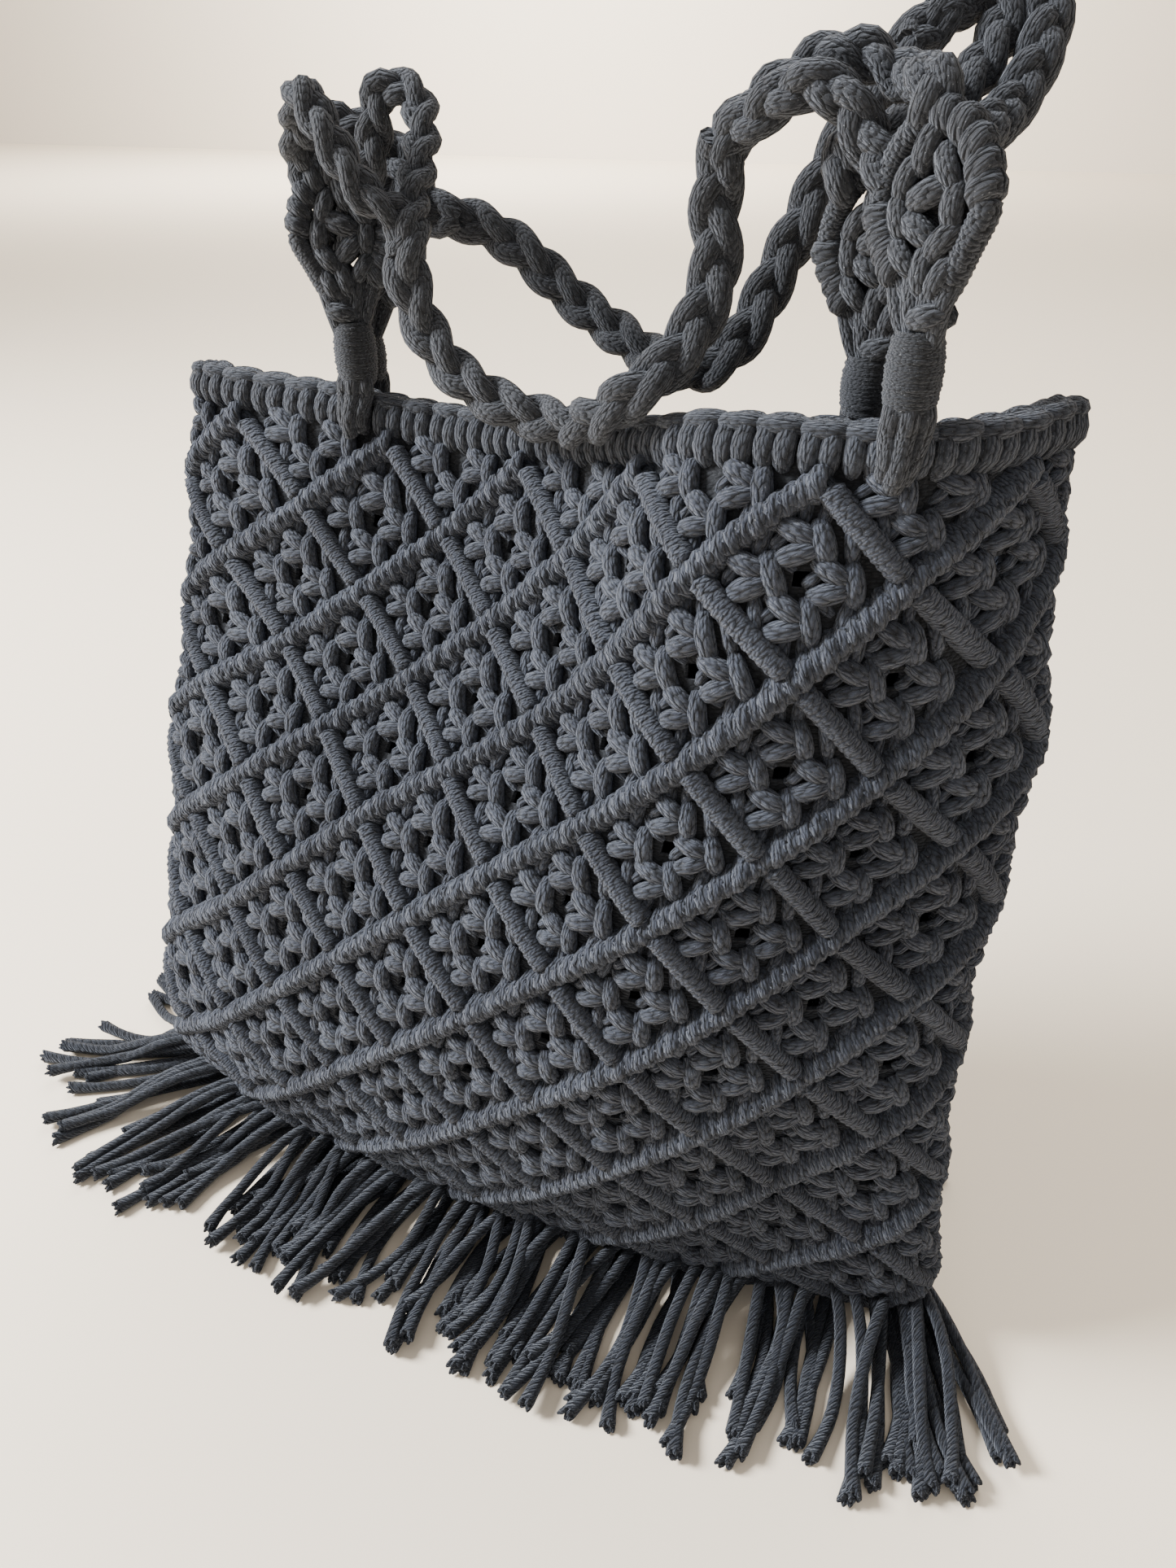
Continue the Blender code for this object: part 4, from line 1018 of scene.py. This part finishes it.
def braided(name, gap_shade, face, lit, stitch_length, stitch_width, slope, bump, fuzz, strip=None):
    # Soft braided cotton: small elongated stitches along the cord, with painted shade between them, painted
    # highlights in random patches on the stitch tops, and pale fluff.
    # They slope one way in one strip of the cord and the other way in the next. Lengths in millimetres.
    finish = Finish(name, 0.92, 0.22, (0.62, 0.68, 0.80, 1.0))
    way = finish.node("ShaderNodeUVMap", {"uv_map": "cord_way"})
    along = finish.node("ShaderNodeSeparateXYZ", {}, {"Vector": way}, 0)
    across = finish.node("ShaderNodeSeparateXYZ", {}, {"Vector": way}, 1)
    zigzag = finish.node("ShaderNodeMath", {"operation": "PINGPONG"},
                         {0: across, 1: strip or stitch_width * 1.5})
    scaled = finish.node("ShaderNodeCombineXYZ", {},
                         {"X": (along + zigzag * slope) / stitch_length, "Y": across / stitch_width})
    seeds = finish.node("ShaderNodeTexVoronoi", {"voronoi_dimensions": "2D", "feature": "F1"},
                        {"Vector": scaled, "Scale": 1.0, "Randomness": 0.8})
    place = finish.node("ShaderNodeTexCoord", output=3)
    fibres = finish.node("ShaderNodeTexNoise", {"noise_dimensions": "2D"},
                         {"Vector": scaled, "Scale": 2.6, "Detail": 3.0, "Roughness": 0.6})
    patch = finish.node("ShaderNodeTexNoise", {}, {"Vector": place, "Scale": 38.0, "Detail": 2.0})
    fluff = finish.node("ShaderNodeTexNoise", {}, {"Vector": place, "Scale": 1900.0, "Detail": 1.0})
    stitch = 1 - (seeds * 1.45).power(1.5)
    shade = (stitch * 0.95 + fibres * 0.45 - 0.22).clamped()
    # Painted shade: between the stitches the colour falls to a near black.
    tone = finish.mix(shade, gap_shade, face)
    # Painted highlight: in random patches the stitch tops take the lighter lit colour.
    highlight_patch = finish.node("ShaderNodeMapRange", {}, {"Value": patch, "From Min": 0.35, "From Max": 0.7,
                                                  "To Min": 0.0, "To Max": 0.55})
    tone = finish.mix(highlight_patch * shade, tone, lit)
    speck = finish.node("ShaderNodeMapRange", {}, {"Value": fluff, "From Min": 0.69, "From Max": 0.76,
                                                   "To Min": 0.0, "To Max": fuzz})
    tone = finish.mix(speck, tone, (0.20, 0.21, 0.23, 1.0))
    finish.feed("Base Color", tone)
    relief = finish.node("ShaderNodeBump", {}, {"Strength": bump, "Distance": 0.0011,
                                                "Height": stitch * 0.8 + fibres * 0.5})
    finish.feed("Normal", relief)
    return finish.material


body_cord = braided("charcoal_braided_cord", (0.0026, 0.0035, 0.0062, 1), (0.0352, 0.0416, 0.0612, 1),
                    (0.076, 0.090, 0.121, 1), 2.0, 0.95, 0.8, 1.0, 0.5)
rim_cord = braided("charcoal_rim_cord", (0.0024, 0.0032, 0.0056, 1), (0.0270, 0.0318, 0.0440, 1),
                   (0.058, 0.068, 0.090, 1), 2.0, 0.95, 0.8, 1.0, 0.5)
handle_cord = braided("charcoal_handle_cord", (0.0022, 0.0026, 0.0038, 1), (0.0180, 0.0202, 0.0258, 1),
                      (0.034, 0.0375, 0.046, 1), 1.7, 0.95, 0.6, 1.0, 0.6)
# Darker copy of the cord colour for the ground behind the knots: painted shade.
shaded_ground_cord = braided("shaded_cord", (0.003, 0.0035, 0.0045, 1), (0.012, 0.0135, 0.017, 1),
                      (0.018, 0.020, 0.024, 1), 2.0, 1.0, 0.5, 0.6, 0.1)
cut_cord = braided("navy_black_twisted_cord", (0.0013, 0.0018, 0.0034, 1), (0.0086, 0.0112, 0.0188, 1),
                   (0.018, 0.0232, 0.036, 1), 1.2, 2.8, 1.0, 1.0, 0.3, 14.0)
wound_thread = braided("winding_thread", (0.0035, 0.004, 0.0052, 1), (0.0158, 0.0178, 0.0228, 1),
                       (0.032, 0.035, 0.041, 1), 1.2, 0.5, 0.3, 0.6, 0.5)

knots_front.piece("knots_front", body_cord, "panel_front")
knots_back.piece("knots_back", body_cord, "panel_back")
inside_front.piece("lining_knots_front", body_cord)
inside_back.piece("lining_knots_back", body_cord)
ridges_front.piece("ridges_front", body_cord)
ridges_back.piece("ridges_back", body_cord)
cores.piece("holding_cords", body_cord)
ground().piece("shaded_knotted_ground", shaded_ground_cord)
rim_front.piece("larks_heads_front", rim_cord, "rim_row_front")
rim_back.piece("larks_heads_back", rim_cord, "rim_row_back")
straps_front.piece("plaited_strap_front", handle_cord, "strap_front")
straps_back.piece("plaited_strap_back", handle_cord, "strap_back")
for name in ends:
    leaves[name].piece("knotted_oval_" + name, handle_cord, "leaf_" + name)
    wound[name].piece("folded_ends_" + name, handle_cord, "wrap_" + name)
    threads[name].piece("winding_" + name, wound_thread)
fringe_front.piece("fringe_cords_front", cut_cord, "fringe_front")
fringe_back.piece("fringe_cords_back", cut_cord, "fringe_back")


def plain_sheet(name, paint_name, size, place, tip, colour, roughness):
    # A flat stage sheet, which isn't part of the bag.
    bpy.ops.object.select_all(action="DESELECT")
    bpy.ops.mesh.primitive_plane_add(size=1.0, location=place, rotation=(math.radians(tip), 0.0, 0.0))
    sheet = bpy.context.object
    sheet.name = name
    sheet.scale = (size[0], size[1], 1.0)
    paint = Finish(paint_name, roughness)
    paint.shader.inputs["Base Color"].default_value = colour
    sheet.data.materials.append(paint.material)


plain_sheet("table_top", "pale_table", (36.0, 14.0), (0.0, 0.0, 0.0), 0.0, (0.93, 0.83, 0.69, 1.0), 0.55)
plain_sheet("plain_wall", "cream_wall", (36.0, 6.2), (0.0, 6.9, 3.0), 90.0, (0.94, 0.87, 0.77, 1.0), 0.7)


def soft_light(name, place, aim, size, power, colour):
    lamp = bpy.data.lights.new(name, "AREA")
    lamp.shape = "DISK"
    lamp.size = size
    lamp.energy = power
    lamp.color = colour
    ob = bpy.data.objects.new(name, lamp)
    bpy.context.scene.collection.objects.link(ob)
    ob.location = place
    ob.rotation_mode = "QUATERNION"
    ob.rotation_quaternion = (Vector(aim) - Vector(place)).to_track_quat("-Z", "Y")


soft_light("window", (-1.50, -0.60, 1.30), (0.0, 0.0, 0.15), 0.70, 139.0, (1.0, 0.99, 0.97))
soft_light("fill", (0.3, -2.0, 1.0), (0.0, 0.0, 0.15), 1.2, 2.0, (0.93, 0.96, 1.0))
soft_light("wall_wash", (-3.0, 4.4, 3.2), (-3.6, 6.9, 0.5), 2.0, 480.0, (1.0, 0.96, 0.90))
soft_light("top", (-0.3, 1.6, 1.9), (0.0, 1.2, 0.0), 1.8, 38.0, (1.0, 0.96, 0.90))

world = bpy.data.worlds.new("pale_room")
bpy.context.scene.world = world
world.use_nodes = True
world.node_tree.nodes["Background"].inputs["Color"].default_value = (0.95, 0.89, 0.82, 1.0)
world.node_tree.nodes["Background"].inputs["Strength"].default_value = 0.77

# Camera, solved from the crossings of the diamonds in the photograph
PHOTO_HEIGHT = 1927        # pixels
FOCAL_PIXELS = 1398.8
CAMERA_YAW = math.radians(23.167)
CAMERA_DIP = math.radians(31.673)
CAMERA_ROLL = math.radians(0.12)
CAMERA_PLACE = (0.15141, -0.33579, 0.39690)


def photo_camera():
    lens = bpy.data.cameras.new("photo_camera")
    lens.sensor_width = 36.0
    lens.lens = FOCAL_PIXELS * lens.sensor_width / PHOTO_HEIGHT
    lens.clip_start = 0.01
    camera = bpy.data.objects.new("photo_camera", lens)
    bpy.context.scene.collection.objects.link(camera)
    level_way = Vector((-math.sin(CAMERA_YAW), math.cos(CAMERA_YAW), 0.0))
    forward = level_way * math.cos(CAMERA_DIP) - Vector((0.0, 0.0, math.sin(CAMERA_DIP)))
    right = Vector((math.cos(CAMERA_YAW), math.sin(CAMERA_YAW), 0.0))
    up = right.cross(forward)
    turned_right = right * math.cos(CAMERA_ROLL) + up * math.sin(CAMERA_ROLL)
    turned_up = up * math.cos(CAMERA_ROLL) - right * math.sin(CAMERA_ROLL)
    matrix = Matrix((turned_right, turned_up, -forward)).transposed().to_4x4()
    matrix.translation = on_table([Vector(CAMERA_PLACE)])[0]
    camera.matrix_world = matrix
    bpy.context.scene.camera = camera


photo_camera()
